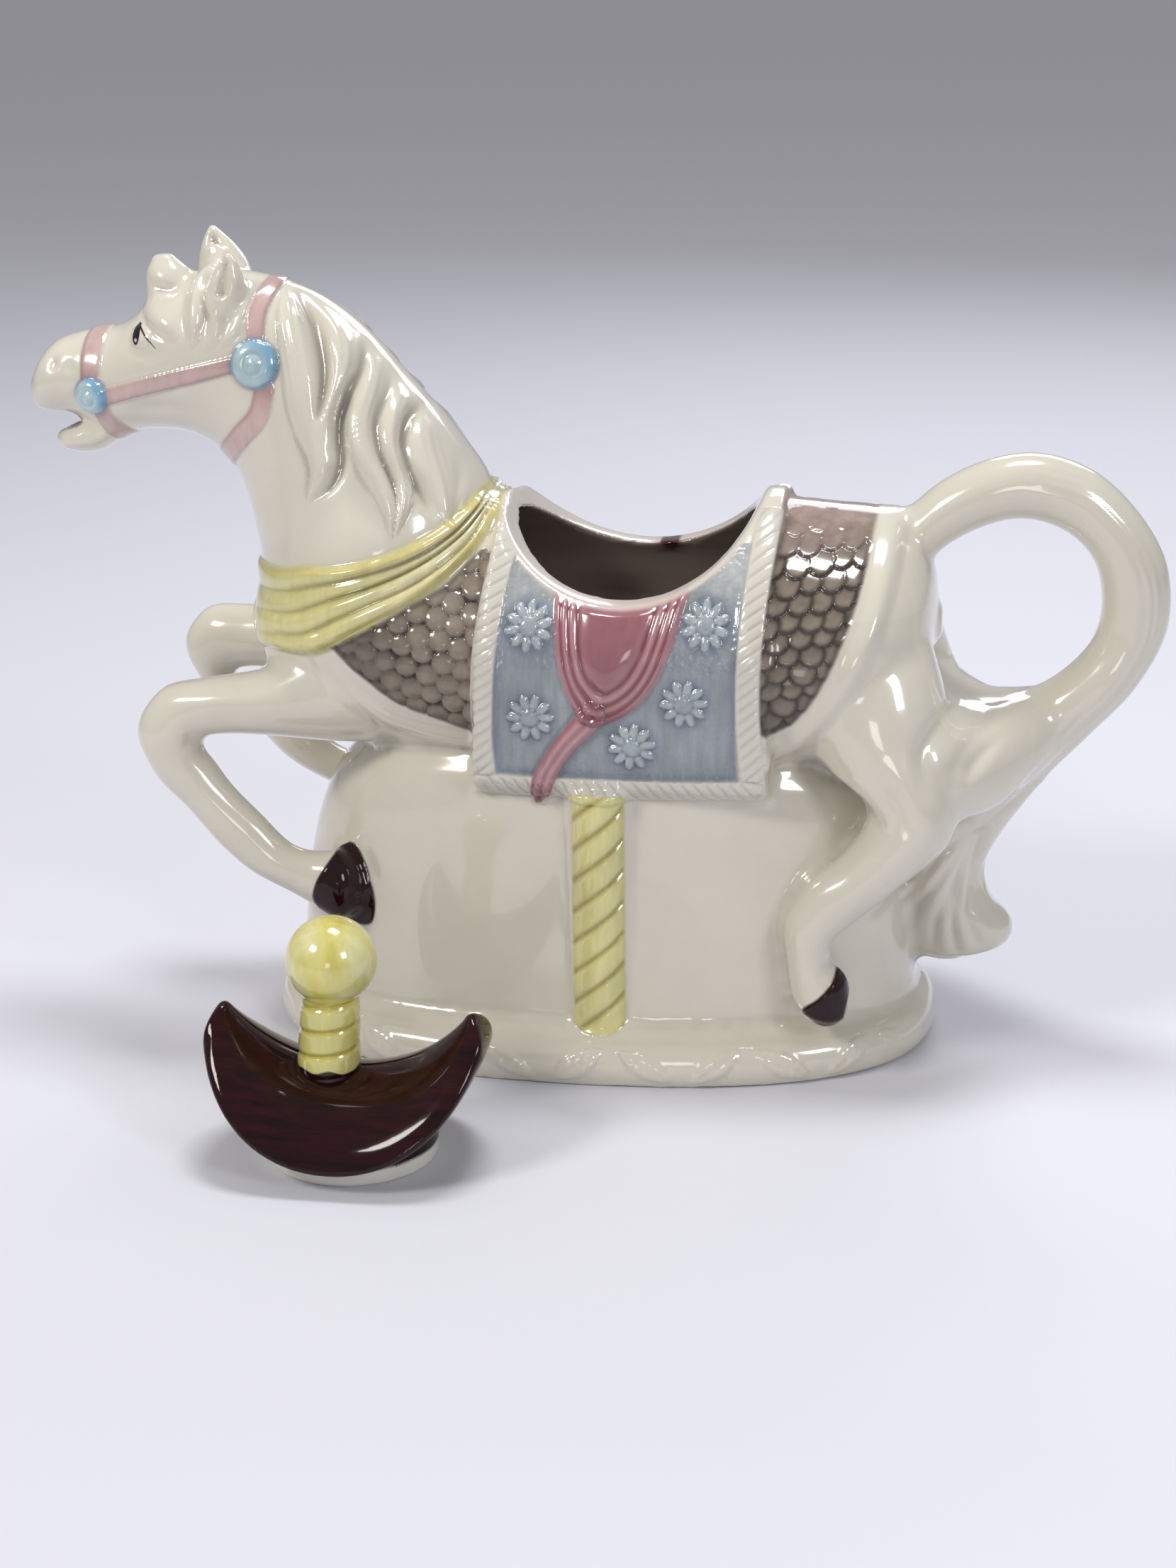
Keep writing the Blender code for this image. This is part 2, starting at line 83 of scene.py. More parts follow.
def node(tree, kind, settings=None, inputs=None):
    """One node with its settings; an input is a value, or a socket to link from."""
    made = tree.nodes.new(kind)
    for name, value in (settings or {}).items():
        setattr(made, name, value)
    for name, value in (inputs or {}).items():
        if isinstance(value, bpy.types.NodeSocket):
            tree.links.new(value, made.inputs[name])
        else:
            made.inputs[name].default_value = value
    return made


def lamp(name, place, aim, size, power, colour="#ffffff"):
    data = bpy.data.lights.new(name, "AREA")
    data.shape = "RECTANGLE"
    data.size, data.size_y = size
    data.energy = power
    data.color = linear(colour)
    thing = bpy.data.objects.new(name, data)
    thing.location = place
    thing.rotation_euler = (Vector(aim) - Vector(place)).to_track_quat("-Z", "Y").to_euler()
    bpy.context.scene.collection.objects.link(thing)


lamp("key", (-0.75, -0.75, 0.95), (0, 0, 0.10), (0.34, 0.26), 8.0, "#fffaf2")
lamp("fill", (0.95, -0.85, 0.75), (0, 0, 0.08), (0.30, 0.36), 4.2, "#fbfbff")
lamp("top", (0.05, 0.15, 1.15), (0, 0, 0.1), (0.36, 0.24), 6.5)
lamp("back", (0.2, 1.0, 0.7), (0, 0, 0.12), (0.7, 0.35), 3.5, "#f6f4ff")
lamp("low", (0.10, -1.35, 0.28), (0, 0, 0.08), (0.24, 0.24), 0.7, "#fffdf8")

world = bpy.data.worlds.new("studio")
world.use_nodes = True
world.node_tree.nodes["Background"].inputs["Color"].default_value = (*linear("#d8d7d8"), 1)
world.node_tree.nodes["Background"].inputs["Strength"].default_value = 0.55
bpy.context.scene.world = world


def ground():
    bm = bmesh.new()
    bmesh.ops.create_grid(bm, x_segments=1, y_segments=1, size=6)
    floor = bpy.data.objects.new("floor", bpy.data.meshes.new("floor"))
    bm.to_mesh(floor.data)
    bm.free()
    bpy.context.scene.collection.objects.link(floor)
    paper = bpy.data.materials.new("seamless_paper")
    paper.use_nodes = True
    shader = paper.node_tree.nodes["Principled BSDF"]
    shader.inputs["Base Color"].default_value = (*linear("#d2d3dc"), 1)
    shader.inputs["Roughness"].default_value = 0.6
    floor.data.materials.append(paper)


ground()

# ---------------------------------------------------------------- outlines of the castings
# A station is one section: low point x, z, high point x, z, its y and half width, in mm
TORSO = [
    (-93.5, 109, -93.5, 117, 0, 7), (-88.5, 97, -90, 129, 0, 21), (-82, 90.5, -83, 140, 0, 28.5),
    (-72, 85.5, -72, 149, 0, 34), (-55, 80, -55, 152, 0, 38.5), (-30, 76, -30, 148, 0, 40.5),
    (-5, 74, -5, 147.5, 0, 41), (20, 74, 20, 147.5, 0, 41), (46, 76, 46, 148.5, 0, 41),
    (62, 79, 62, 147.5, 0, 40), (76, 84, 77, 145.5, 0, 35.5), (85, 93, 86.5, 138, 0, 27),
    (90, 108, 91, 125, 0, 12), (91.5, 113, 91.5, 119, 0, 4)]
MOUND = [
    (-85.5, 6, 86.5, 6, 0, 42.5), (-85, 20, 86, 20, 0, 42), (-83.5, 34, 85.5, 34, 0, 41.5),
    (-81.5, 48, 84.5, 48, 0, 41), (-78.5, 60, 83, 60, 0, 40.5), (-74, 71, 80, 71, 0, 40),
    (-67, 80, 74, 80, 0, 38.5), (-56, 88, 64, 88, 0, 33), (-44, 92, 50, 92, 0, 26)]
NECK = [
    (-80, 106, -34, 128, 0, 30), (-90.5, 122, -28.5, 147, 0, 34.5), (-92.5, 135, -40, 166.5, 0, 28.5),
    (-95.5, 148, -50, 178, 0, 23.5), (-100, 157, -61, 190.5, 0, 20.5), (-108, 162, -73, 199.5, 0, 18.5),
    (-118, 163.5, -90, 205.5, 0, 18), (-127, 162.5, -106, 206, 0, 16.5),
    (-132, 162, -119, 198.5, 0, 14.5), (-137, 164, -129, 191.5, 0, 12.5),
    (-142, 167, -139, 189.7, 0, 11.4), (-147.6, 167.8, -147.2, 186.8, 0, 10.6),
    (-152, 168.4, -151.6, 182.4, 0, 8.4), (-154.3, 170.2, -154.1, 178.2, 0, 4.6),
    (-154.6, 172.5, -154.5, 176, 0, 2)]
LOWER_JAW = [
    (-116, 168, -112, 178, 0, 10), (-128, 161.5, -126, 173, 0, 9), (-136, 157.2, -137, 167, 0, 8),
    (-142, 156.8, -143, 165, 0, 7.6), (-146.5, 158, -146.5, 163.6, 0, 6),
    (-148.3, 160, -148.3, 161.6, 0, 2.5)]
SPOUT_THROAT = [
    (-127, 167.5, -121, 181, 0, 7.5), (-136, 164, -133, 174, 0, 6), (-143, 163, -142.5, 170.4, 0, 5.3),
    (-157, 162.8, -157, 169.4, 0, 5.3)]
NEAR_EAR = [
    (-100.5, 197, -90, 199.5, -11, 5.5), (-100.5, 202.5, -89.8, 204, -12, 5),
    (-98.3, 207.5, -91, 208.5, -12.7, 3.8), (-95.8, 211.5, -92.5, 211.9, -13, 1.9),
    (-94.5, 213, -93.7, 213.1, -13, 0.5)]
OFF_EAR = [
    (-110.5, 200, -94, 203, 11, 5.8), (-109.8, 206, -96.5, 208, 12, 5.2),
    (-108.6, 211.5, -100.5, 212.6, 12.7, 3.8), (-107, 215.2, -104.3, 215.7, 13, 2),
    (-106.3, 216.4, -105.3, 216.5, 13, 0.6)]
FORELOCK = [
    (-121, 190, -104, 198, 0, 9), (-120.6, 200, -107, 204, 0, 7), (-120, 206.5, -109.5, 207.5, 0, 5),
    (-118, 210, -113, 210.3, 0, 2)]
HIND_LEG = [
    (57, 119, 84, 128, 10, 14), (54, 103, 90, 112, 18, 18.5), (60, 86, 97, 86, 24.5, 17.5),
    (74, 73, 96, 66, 31, 13), (68, 62, 83, 53.5, 35, 10), (58, 53, 70.5, 43, 37.5, 8),
    (53.2, 43, 66, 38.5, 38.5, 7.3), (54.3, 33, 66, 34, 39, 7), (55.5, 24.5, 70, 28.5, 39.5, 7.2),
    (58.5, 19.5, 69.5, 18, 40, 6.2), (61.5, 17.3, 66.5, 16.3, 40, 3)]
NEAR_FORELEG = [
    (-58, 84, -58, 116, -21, 13), (-70, 85, -74, 111, -24.5, 11.5), (-84, 87, -87, 105, -28, 9.5),
    (-97, 87.5, -102, 102.5, -30, 8), (-102.5, 86.5, -114, 99.5, -30.5, 7.8),
    (-103.5, 83.5, -121, 89, -31, 7.8), (-101, 80, -117.5, 77, -31, 7.2),
    (-96, 73, -108, 66.5, -31.5, 6.3), (-88, 65, -99, 56, -32, 5.8), (-80, 57, -90, 48.5, -32, 5.8),
    (-73, 55.5, -80, 43.5, -32, 6), (-68, 56, -74.5, 40.5, -32, 6.8), (-62.5, 52, -66, 37, -32, 7),
    (-60.3, 47.5, -61, 40, -31, 4)]
OFF_FORELEG = [
    (-58, 84, -58, 116, 21, 13), (-72, 86, -74, 114, 22.5, 11.5), (-88, 89, -88, 110, 22.5, 9.5),
    (-102, 90.5, -103, 108.5, 22, 8.3), (-108.5, 89.5, -117, 107, 22, 8),
    (-109.5, 87, -123.3, 98, 22, 7.8), (-106.5, 83.5, -119, 86, 22, 7.2),
    (-96, 81, -104.5, 73.5, 22.5, 6.3), (-87.5, 72, -95.5, 63, 24, 5.8),
    (-80.5, 65, -87.5, 56.5, 27, 5.8), (-74, 62, -79.5, 51.5, 30, 6), (-68, 60, -73.5, 46, 32, 6.8),
    (-62, 56, -65, 43, 32, 6.8), (-60, 52, -60.5, 46, 31, 4)]
HANDLE = [
    (76, 126, 73, 140), (87, 132, 82, 146.5), (94, 137.5, 89, 152.5), (102, 141.7, 99, 158),
    (111, 143.7, 113, 161), (121, 141.3, 128, 157), (129, 134, 140.5, 146), (132, 122, 149, 130.5),
    (130.5, 113, 149.5, 115), (125, 105, 142.5, 99.5), (117, 98.7, 131, 86), (107, 95.5, 119, 72.3),
    (100, 92, 112, 62)]
TAIL_FAN = [
    (119, 72.3, 107, 95.5, 0, 10.5), (109, 57.5, 88, 94, 0, 13), (104.7, 47, 80, 70, 0, 15),
    (107, 38.5, 78, 50, 0, 15.5), (112.5, 31.5, 80, 36, 0, 14), (110, 24.5, 84, 24, 0, 11),
    (101, 21.5, 90, 20.5, 0, 5)]
TAIL_ROOT = [
    (84, 70, 74, 110, 0, 39.5), (94, 66, 85, 106, 0, 38.5), (103, 66, 94, 100.5, 0, 34.5),
    (111, 70, 102, 96.5, 0, 27), (119, 77, 111, 96.5, 0, 18), (126, 84, 119, 98.5, 0, 10)]
CLOTH_HEM = 76.5
CLOTH = [
    (-27.6, 76.5, -22.6, 151.5, 0, 43.0), (-10, 76.5, -8, 150, 0, 43.3), (12, 76.5, 12, 150, 0, 43.4),
    (32, 76.5, 32, 150.5, 0, 43.3), (48.8, 76.5, 49.6, 150.5, 0, 43.0)]
FOOT_HALF = (91.75, 53)
OVAL = 2.4                                  # mound and foot in plan: 2 is an ellipse, more is squarer
LEG_OUT = 27.1                              # the front hooves lie further out than this
NECK_SEAM = ((-92, 118), (-29, 149.5))
DIP_CENTRE, DIP_RADIUS = (10, 165), 37.5
DIP_TOP = 156
POLE_X, POLE_OUT, POLE_RADIUS = 5, 38.6, 7.5
WALL = 4.5
ON_THE_WALL = 1.15                          # a point this near the hollow's skin is inside the pot

# ---------------------------------------------------------------- making forms


def smooth_rows(rows, count, axes):
    """Rows evenly spaced on a smooth curve through the given ones, measured on the first axes."""
    rows = np.array(rows, float)
    knots = np.concatenate([[0], np.cumsum(np.linalg.norm(np.diff(rows[:, :axes], axis=0), axis=1))])
    slope = np.gradient(rows, knots, axis=0)
    place = np.linspace(0, knots[-1], count)
    i = np.clip(np.searchsorted(knots, place) - 1, 0, len(knots) - 2)
    span = (knots[i + 1] - knots[i])[:, None]
    s = (place - knots[i])[:, None] / span
    start = (1 + 2 * s) * (1 - s) ** 2 * rows[i] + s * (1 - s) ** 2 * span * slope[i]
    end = s ** 2 * (3 - 2 * s) * rows[i + 1] + s ** 2 * (s - 1) * span * slope[i + 1]
    return start + end


def signed_power(value, exponent):
    return np.sign(value) * np.abs(value) ** exponent


def loft(stations, around=96, along=96, waist=0.5, up=2.0, low=2.0, grow=0.0):
    """A closed skin over stations, grown all round; returns its mesh."""
    rows = smooth_rows(stations, along + 1, 5)
    for end, beside in ((0, 1), (-1, -2)):
        middle = [np.array(((rows[k][0] + rows[k][2]) / 2, (rows[k][1] + rows[k][3]) / 2, rows[k][4]))
                  for k in (end, beside)]
        x, z, y = (middle[0] - middle[1]) / np.linalg.norm(middle[0] - middle[1]) * grow
        rows[end] += np.array((x, z, x, z, y, 0))
    bm = bmesh.new()
    bmesh.ops.create_grid(bm, x_segments=around, y_segments=along, size=0.5)
    grid = np.array([vertex.co for vertex in bm.verts])
    row = rows[np.rint((grid[:, 1] + 0.5) * along).astype(int)]
    angle = 2 * np.pi * (grid[:, 0] + 0.5)
    bottom, top = row[:, 0:2], row[:, 2:4]
    way = (top - bottom) / np.linalg.norm(top - bottom, axis=1)[:, None]
    bottom, top = bottom - way * grow, top + way * grow
    middle = bottom + (top - bottom) * waist
    side, rise = np.cos(angle), np.sin(angle)
    bulge = 2 / np.where(rise > 0, up, low)
    reach = np.where((rise > 0)[:, None], top - middle, middle - bottom)
    flat = middle + reach * signed_power(rise, bulge)[:, None]
    across = row[:, 4] + (row[:, 5] + grow) * signed_power(side, bulge)
    for vertex, (x, z), y in zip(bm.verts, flat, across):
        vertex.co = (x * MM, y * MM, z * MM)
    bmesh.ops.remove_doubles(bm, verts=bm.verts, dist=1e-6)
    bmesh.ops.holes_fill(bm, edges=[edge for edge in bm.edges if edge.is_boundary])
    bmesh.ops.recalc_face_normals(bm, faces=bm.faces)
    mesh = bpy.data.meshes.new("form")
    bm.to_mesh(mesh)
    bm.free()
    return mesh


def mirrored(stations):
    return [(*row[:4], -row[4], row[5]) for row in stations]


def gather(name, meshes):
    """One object out of several meshes, which may run into each other."""
    bm = bmesh.new()
    for mesh in meshes:
        bm.from_mesh(mesh)
        bpy.data.meshes.remove(mesh)
    thing = bpy.data.objects.new(name, bpy.data.meshes.new(name))
    bm.to_mesh(thing.data)
    bm.free()
    bpy.context.scene.collection.objects.link(thing)
    return thing


def apply_modifiers(thing):
    bpy.context.view_layer.update()
    shape = thing.evaluated_get(bpy.context.evaluated_depsgraph_get())
    mesh = bpy.data.meshes.new_from_object(shape)
    old = thing.data
    thing.modifiers.clear()
    thing.data = mesh
    bpy.data.meshes.remove(old)
    return thing


def fuse(thing, grain):
    """Runs everything in the object together into one skin of even grain."""
    change = thing.modifiers.new("fuse", "REMESH")
    change.mode = "VOXEL"
    change.voxel_size = grain * MM
    change.use_smooth_shade = True
    return apply_modifiers(thing)


def soften(thing, times, factor=0.5, where=None):
    """Evens the surface out, everywhere or only at the chosen points."""
    change = thing.modifiers.new("soften", "SMOOTH")
    change.iterations, change.factor = times, factor
    if where is not None:
        group = thing.vertex_groups.new(name="chosen")
        group.add([int(i) for i in np.flatnonzero(where)], 1.0, "REPLACE")
        change.vertex_group = group.name
    return apply_modifiers(thing)


def refine(thing, choose):
    """Splits the faces of the chosen points in four, for finer relief and paint."""
    for near in choose:
        where = near(Side(thing.data, IVORY))
        bm = bmesh.new()
        bm.from_mesh(thing.data)
        flags = where.tolist()
        edges = [edge for edge in bm.edges if flags[edge.verts[0].index] and flags[edge.verts[1].index]]
        bmesh.ops.subdivide_edges(bm, edges=edges, cuts=1, use_grid_fill=True)
        bm.to_mesh(thing.data)
        bm.free()
        thing = soften(thing, 3, where=near(Side(thing.data, IVORY)))
    return thing


def cut(thing, tool):
    change = thing.modifiers.new("cut", "BOOLEAN")
    change.operation = "DIFFERENCE"
    change.solver = "MANIFOLD"
    change.object = tool
    apply_modifiers(thing)
    bpy.data.objects.remove(tool)
    return thing


def read(items, name, width=1, kind=float):
    """One value of every item, as an array with a row for each."""
    flat = np.empty(len(items) * width, kind)
    items.foreach_get(name, flat)
    return flat if width == 1 else flat.reshape(-1, width)


def points_of(mesh):
    return read(mesh.vertices, "co", 3) / MM


def normals_of(mesh):
    return read(mesh.vertex_normals, "vector", 3)


def place_points(mesh, points):
    mesh.vertices.foreach_set("co", (points * MM).ravel())
    mesh.update()


def round_bar(radius, low, high, sides=96, axis="Z"):
    """A round bar between two points, in millimetres."""
    low, high = Vector(low), Vector(high)
    bm = bmesh.new()
    turn = Matrix.Rotation(math.pi / 2, 4, "X") if axis == "Y" else Matrix.Identity(4)
    bmesh.ops.create_cone(bm, cap_ends=True, segments=sides, radius1=radius * MM, radius2=radius * MM,
                          depth=(high - low).length * MM, matrix=turn)
    bmesh.ops.translate(bm, vec=(low + high) / 2 * MM, verts=bm.verts)
    mesh = bpy.data.meshes.new("bar")
    bm.to_mesh(mesh)
    bm.free()
    return mesh


def foot(grow):
    """Oval slab under the mound."""
    half_long, half_wide = FOOT_HALF
    rings = [(0, 1.2), (1.95, 0.1), (6.5, 0), (10.4, 1.6), (12.35, 4.2), (13, 8)]
    rows = [(inside - half_long, z, half_long - inside, z, 0, half_wide - inside) for z, inside in rings]
    return loft(rows, 160, 16, up=OVAL, low=OVAL, grow=grow)


def horse_form(grow):
    handle = [(*row, 0, 8.5 if row[3] > 100 else 10.2) for row in HANDLE]
    meshes = [
        loft(TORSO, 140, 140, up=1.7, low=2.3, grow=grow),
        loft(CLOTH, 140, 60, waist=0.46, up=1.75, low=9, grow=grow),
        loft(MOUND, 160, 70, up=OVAL, low=OVAL, grow=grow), foot(grow),
        loft(NECK, 110, 130, grow=grow), loft(LOWER_JAW, 60, 50, grow=grow),
        loft(NEAR_EAR, 40, 40, grow=grow), loft(OFF_EAR, 40, 40, grow=grow),
        loft(FORELOCK, 48, 40, grow=grow), loft(TAIL_FAN, 80, 70, grow=grow),
        loft(HIND_LEG, 60, 90, grow=grow), loft(mirrored(HIND_LEG), 60, 90, grow=grow),
        loft(NEAR_FORELEG, 60, 120, grow=grow), loft(OFF_FORELEG, 60, 120, grow=grow),
        loft(TAIL_ROOT, 64, 60, up=2.3, low=2.3, grow=grow), loft(handle, 64, 150, grow=grow)]
    for side in (-1, 1):
        low, high = ((POLE_X, side * POLE_OUT, z) for z in (7.5, 80))
        meshes.append(round_bar(POLE_RADIUS + grow, low, high, 64))
    return gather("horse", meshes)


def inside_form():
    """Hollow of the pot and the way up the neck, without the saddle opening."""
    raised = [(row[0], max(row[1], 5), row[2], max(row[3], 5), *row[4:]) for row in MOUND]
    walls = []
    for row in NECK[:8]:
        low, high = Vector((row[0], row[1])), Vector((row[2], row[3]))
        way = (high - low).normalized() * WALL
        walls.append((*(low + way), *(high - way), 0, row[5] - WALL))
    return gather("hollow", [
        loft(TORSO[1:-2], 100, 80, up=1.7, low=2.3, grow=-WALL),
        loft(raised, 100, 40, up=OVAL, low=OVAL, grow=-WALL), loft(walls + SPOUT_THROAT, 60, 90)])


# ---------------------------------------------------------------- reading the side view
class Side:
    """The points of a form seen from the side, with their relief and their tint so far."""

    def __init__(self, mesh, ground_tint):
        self.mesh = mesh
        self.points, self.normals = points_of(mesh), normals_of(mesh)
        self.x, self.y, self.z = self.points.T
        self.out = np.abs(self.y)
        self.facing = np.abs(self.normals[:, 1])
        self.relief = np.zeros(len(self.x))
        self.tint = np.tile(np.array(linear(ground_tint)), (len(self.x), 1))
        self.finish = np.zeros(len(self.x), int)

    def beside(self, line, reach, ok):
        """Points in the box round a line, grown by the reach."""
        low, high = line[:, :2].min(0) - reach, line[:, :2].max(0) + reach
        near = (self.x > low[0]) & (self.x < high[0]) & (self.z > low[1]) & (self.z < high[1])
        return np.flatnonzero(near if ok is None else near & ok)

    def along(self, line, reach, ok=None):
        """Points near a smooth line: which, distance, side, length along it, its other columns."""
        line = np.array(line, float)
        length = np.linalg.norm(np.diff(line[:, :2], axis=0), axis=1).sum()
        line = smooth_rows(line, max(int(length / 1.2), 3) + 1, 2)
        near = self.beside(line, reach, ok)
        spot = np.stack((self.x[near], self.z[near]), 1)
        best, side, place = np.full(len(near), 1e9), np.zeros(len(near)), np.zeros(len(near))
        rest = np.zeros((len(near), line.shape[1] - 2))
        run = 0.0
        for a, b in zip(line[:-1], line[1:]):
            way = b[:2] - a[:2]
            size = np.hypot(*way)
            from_a = spot - a[:2]
            share = np.clip(from_a @ way / size ** 2, 0, 1)
            off = from_a - share[:, None] * way
            distance = np.hypot(off[:, 0], off[:, 1])
            closer = distance < best
            best[closer] = distance[closer]
            side[closer] = np.sign(way[0] * from_a[closer, 1] - way[1] * from_a[closer, 0])
            place[closer] = run + share[closer] * size
            rest[closer] = a[2:] + share[closer, None] * (b[2:] - a[2:])
            run += size
        keep = best < reach
        return near[keep], best[keep], side[keep], place[keep], rest[keep]

    def inside(self, outline, reach=3.0, smooth=True, ok=None):
        """How far points lie inside a closed outline, as a whole-length array, negative outside."""
        outline = np.array(outline + [outline[0]], float)
        if smooth:
            outline = smooth_rows(outline, len(outline) * 5, 2)
        near = self.beside(outline, reach, ok)
        px, pz = self.x[near], self.z[near]
        best, crossed = np.full(len(near), 1e9), np.zeros(len(near), bool)
        for (ax, az), (bx, bz) in zip(outline[:-1], outline[1:]):
            size = (bx - ax) ** 2 + (bz - az) ** 2
            if size < 1e-12:
                continue
            share = np.clip(((px - ax) * (bx - ax) + (pz - az) * (bz - az)) / size, 0, 1)
            best = np.minimum(best, np.hypot(px - ax - share * (bx - ax), pz - az - share * (bz - az)))
            if az != bz:
                crossed ^= ((az > pz) != (bz > pz)) & (px < (bx - ax) * (pz - az) / (bz - az) + ax)
        depth = np.full(len(self.x), -1e3)
        depth[near] = np.where(crossed, best, -best)
        return depth

    def raise_by(self, amount, where=None):
        if where is None:
            self.relief += amount
        else:
            self.relief[where] += amount

    def paint(self, share, colour, where=None, finish=None):
        where = np.arange(len(self.x)) if where is None else where
        share = np.clip(share, 0, 1)
        self.tint[where] += (np.array(linear(colour)) - self.tint[where]) * share[:, None]
        if finish is not None:
            self.finish[where[share > 0.5]] = finish


def step(value, start, end):
    """Smooth rise from 0 at start to 1 at end."""
    s = np.clip((value - start) / (end - start), 0, 1)
    return s * s * (3 - 2 * s)


def dome(share):
    """Rounded rise: 1 in the middle, 0 at the edge."""
    return np.sqrt(np.clip(1 - share ** 2, 0, 1))


def hump(value, width):
    """Soft rise: 1 where the value is 0, fading over the width to both sides."""
    return np.exp(-(value / width) ** 2)


# ---------------------------------------------------------------- modelled and painted detail
IVORY, YELLOW, OLIVE = "#cfcabc", "#d2cc8c", "#94853c"
ROSE, WINE, STRAP = "#a36f76", "#762f40", "#bfa39f"
CLOTH_BLUE, BLUE_POOL, PALE_BLUE = "#8a9298", "#586b85", "#b1b3b1"
SKY, DEEP_SKY = "#a9c2c8", "#6299bd"
UMBER, DARK_UMBER, PALE_UMBER = "#7b7065", "#2c2420", "#9b8f82"
HOOF, INK, INSIDE_SHADE = "#240c10", "#0b0a0c", "#8f8178"
PLAIN, WASHED, DEEP, WOVEN, DARK = 0, 1, 2, 3, 4

# A lock of the mane: x, z and half width down its middle
LOCKS = [
    [(-80.9, 203.6, 1.1), (-78.7, 195.8, 3.2), (-76.2, 188.3, 4.4), (-74.4, 181.3, 5.0),
     (-73.1, 174.3, 4.9), (-71.2, 168.1, 4.4), (-69.1, 162.4, 3.5), (-68.6, 158.1, 3.0),
     (-70.0, 154.2, 2.0), (-71.9, 151.2, 0.6)],
    [(-79.6, 205.2, 0.8), (-72.7, 200.0, 2.4), (-68.3, 193.6, 3.2), (-65.5, 186.1, 3.6),
     (-65.6, 179.1, 3.4), (-67.2, 172.0, 2.9), (-67.0, 165.8, 2.6), (-66.5, 160.1, 2.3),
     (-68.0, 155.2, 1.7), (-71.3, 151.1, 0.5)],
    [(-60.5, 193.0, 1.2), (-57.9, 183.2, 2.6), (-58.6, 175.6, 3.4), (-59.1, 170.4, 3.6),
     (-58.1, 165.2, 3.6), (-55.5, 159.5, 3.1), (-52.3, 154.3, 2.5), (-50.1, 149.1, 1.8),
     (-49.2, 142.8, 0.4)],
    [(-52.5, 186.3, 1.8), (-50.3, 177.8, 3.2), (-51.3, 170.7, 3.4), (-51.0, 165.0, 3.1),
     (-49.0, 159.9, 2.7), (-47.0, 155.1, 2.3), (-46.7, 149.9, 1.8), (-48.0, 143.6, 0.4)],
    [(-42.8, 180.0, 1.4), (-42.6, 171.1, 3.1), (-43.0, 165.9, 3.3), (-41.1, 160.2, 3.0),
     (-38.7, 154.6, 2.4), (-37.0, 148.9, 1.7), (-36.2, 143.6, 0.4)],
    [(-38.6, 174.5, 1.2), (-34.7, 166.0, 2.6), (-32.8, 159.5, 2.9), (-32.1, 153.3, 2.3),
     (-33.7, 147.5, 0.9)]]
# A groove between locks: x, z, half width and depth
PARTINGS = [
    [(-79.6, 204.1, 0.8, 0.6), (-77.4, 200.9, 1.3, 1.6), (-74.3, 196.7, 1.7, 2.2),
     (-71.7, 192.1, 1.9, 2.6), (-69.8, 187.0, 1.9, 2.8), (-68.8, 182.3, 1.8, 2.7),
     (-68.8, 177.6, 1.5, 2.2), (-69.5, 172.9, 1.1, 1.3), (-70.3, 169.5, 0.6, 0.2)],
    [(-61.4, 193.4, 0.8, 0.2), (-59.9, 187.3, 1.6, 1.3), (-60.4, 182.2, 1.8, 2.0),
     (-62.9, 176.0, 1.8, 2.4), (-64.5, 170.8, 1.7, 2.5), (-64.4, 165.1, 1.6, 2.4),
     (-63.8, 160.3, 1.5, 2.2), (-65.0, 156.5, 1.4, 1.7), (-67.6, 153.5, 1.2, 1.0),
     (-71.1, 150.8, 0.7, 0.2)],
    [(-46.4, 184.1, 0.8, 0.2), (-44.8, 177.4, 1.6, 1.5), (-45.8, 173.2, 1.7, 2.1),
     (-47.9, 169.4, 1.7, 2.3), (-48.5, 165.6, 1.6, 2.3), (-47.5, 161.3, 1.5, 2.2),
     (-46.0, 157.6, 1.5, 2.1), (-43.7, 154.3, 1.5, 1.9), (-41.4, 150.5, 1.3, 1.5),
     (-39.4, 146.9, 0.8, 0.4)],
    [(-54.3, 186.2, 1.2, 0.2), (-53.7, 176.6, 1.6, 0.9), (-55.3, 170.4, 1.6, 1.2),
     (-55.4, 166.6, 1.5, 1.2), (-53.4, 161.5, 1.4, 1.1), (-50.8, 157.2, 1.2, 0.9),
     (-49.3, 152.5, 0.9, 0.5), (-48.5, 147.7, 0.6, 0.1)],
    [(-39.8, 176.1, 1.0, 0.1), (-37.4, 165.0, 1.5, 0.9), (-35.9, 160.4, 1.4, 1.0),
     (-34.9, 154.7, 1.2, 0.8), (-34.8, 148.9, 0.8, 0.1)]]
MANE = [
    (-82, 206), (-81, 199), (-79.5, 190), (-78, 180), (-72, 172), (-62, 176), (-56, 168), (-48, 160),
    (-41, 154), (-35, 149), (-29, 149), (-33, 156), (-41, 168), (-50, 179), (-60, 191), (-70, 201)]

SASH_TOP = [
    (-101, 130), (-91, 131), (-81, 132), (-73, 134), (-64, 135), (-55, 137), (-46, 140), (-38, 144),
    (-33, 148), (-29, 151)]
SASH_LOW = [
    (-101, 108), (-91, 109.5), (-81, 111), (-75, 111), (-67, 113), (-60, 117), (-51, 122), (-42, 127),
    (-34, 133), (-28, 139), (-25, 147)]
SASH_KNOT_TOP = 150.5
FRONT_SCALES = [
    (-65, 114), (-54, 120), (-45, 125), (-36, 130), (-27, 138), (-27, 92.5), (-39, 96.5), (-48, 100),
    (-55, 105), (-61, 110)]
FRONT_BAND = [(-70.5, 116), (-68, 109.2), (-64, 103.2), (-58, 98), (-51, 93.4), (-42, 90.8), (-27, 88.5)]
REAR_SCALES = [
    (50, 150), (50, 143), (48, 132), (46.5, 120), (45.5, 108), (46, 100), (49, 95.5), (53, 96.8),
    (57.5, 101.2), (62.5, 109), (67, 119), (71, 131), (73, 141), (74, 150)]
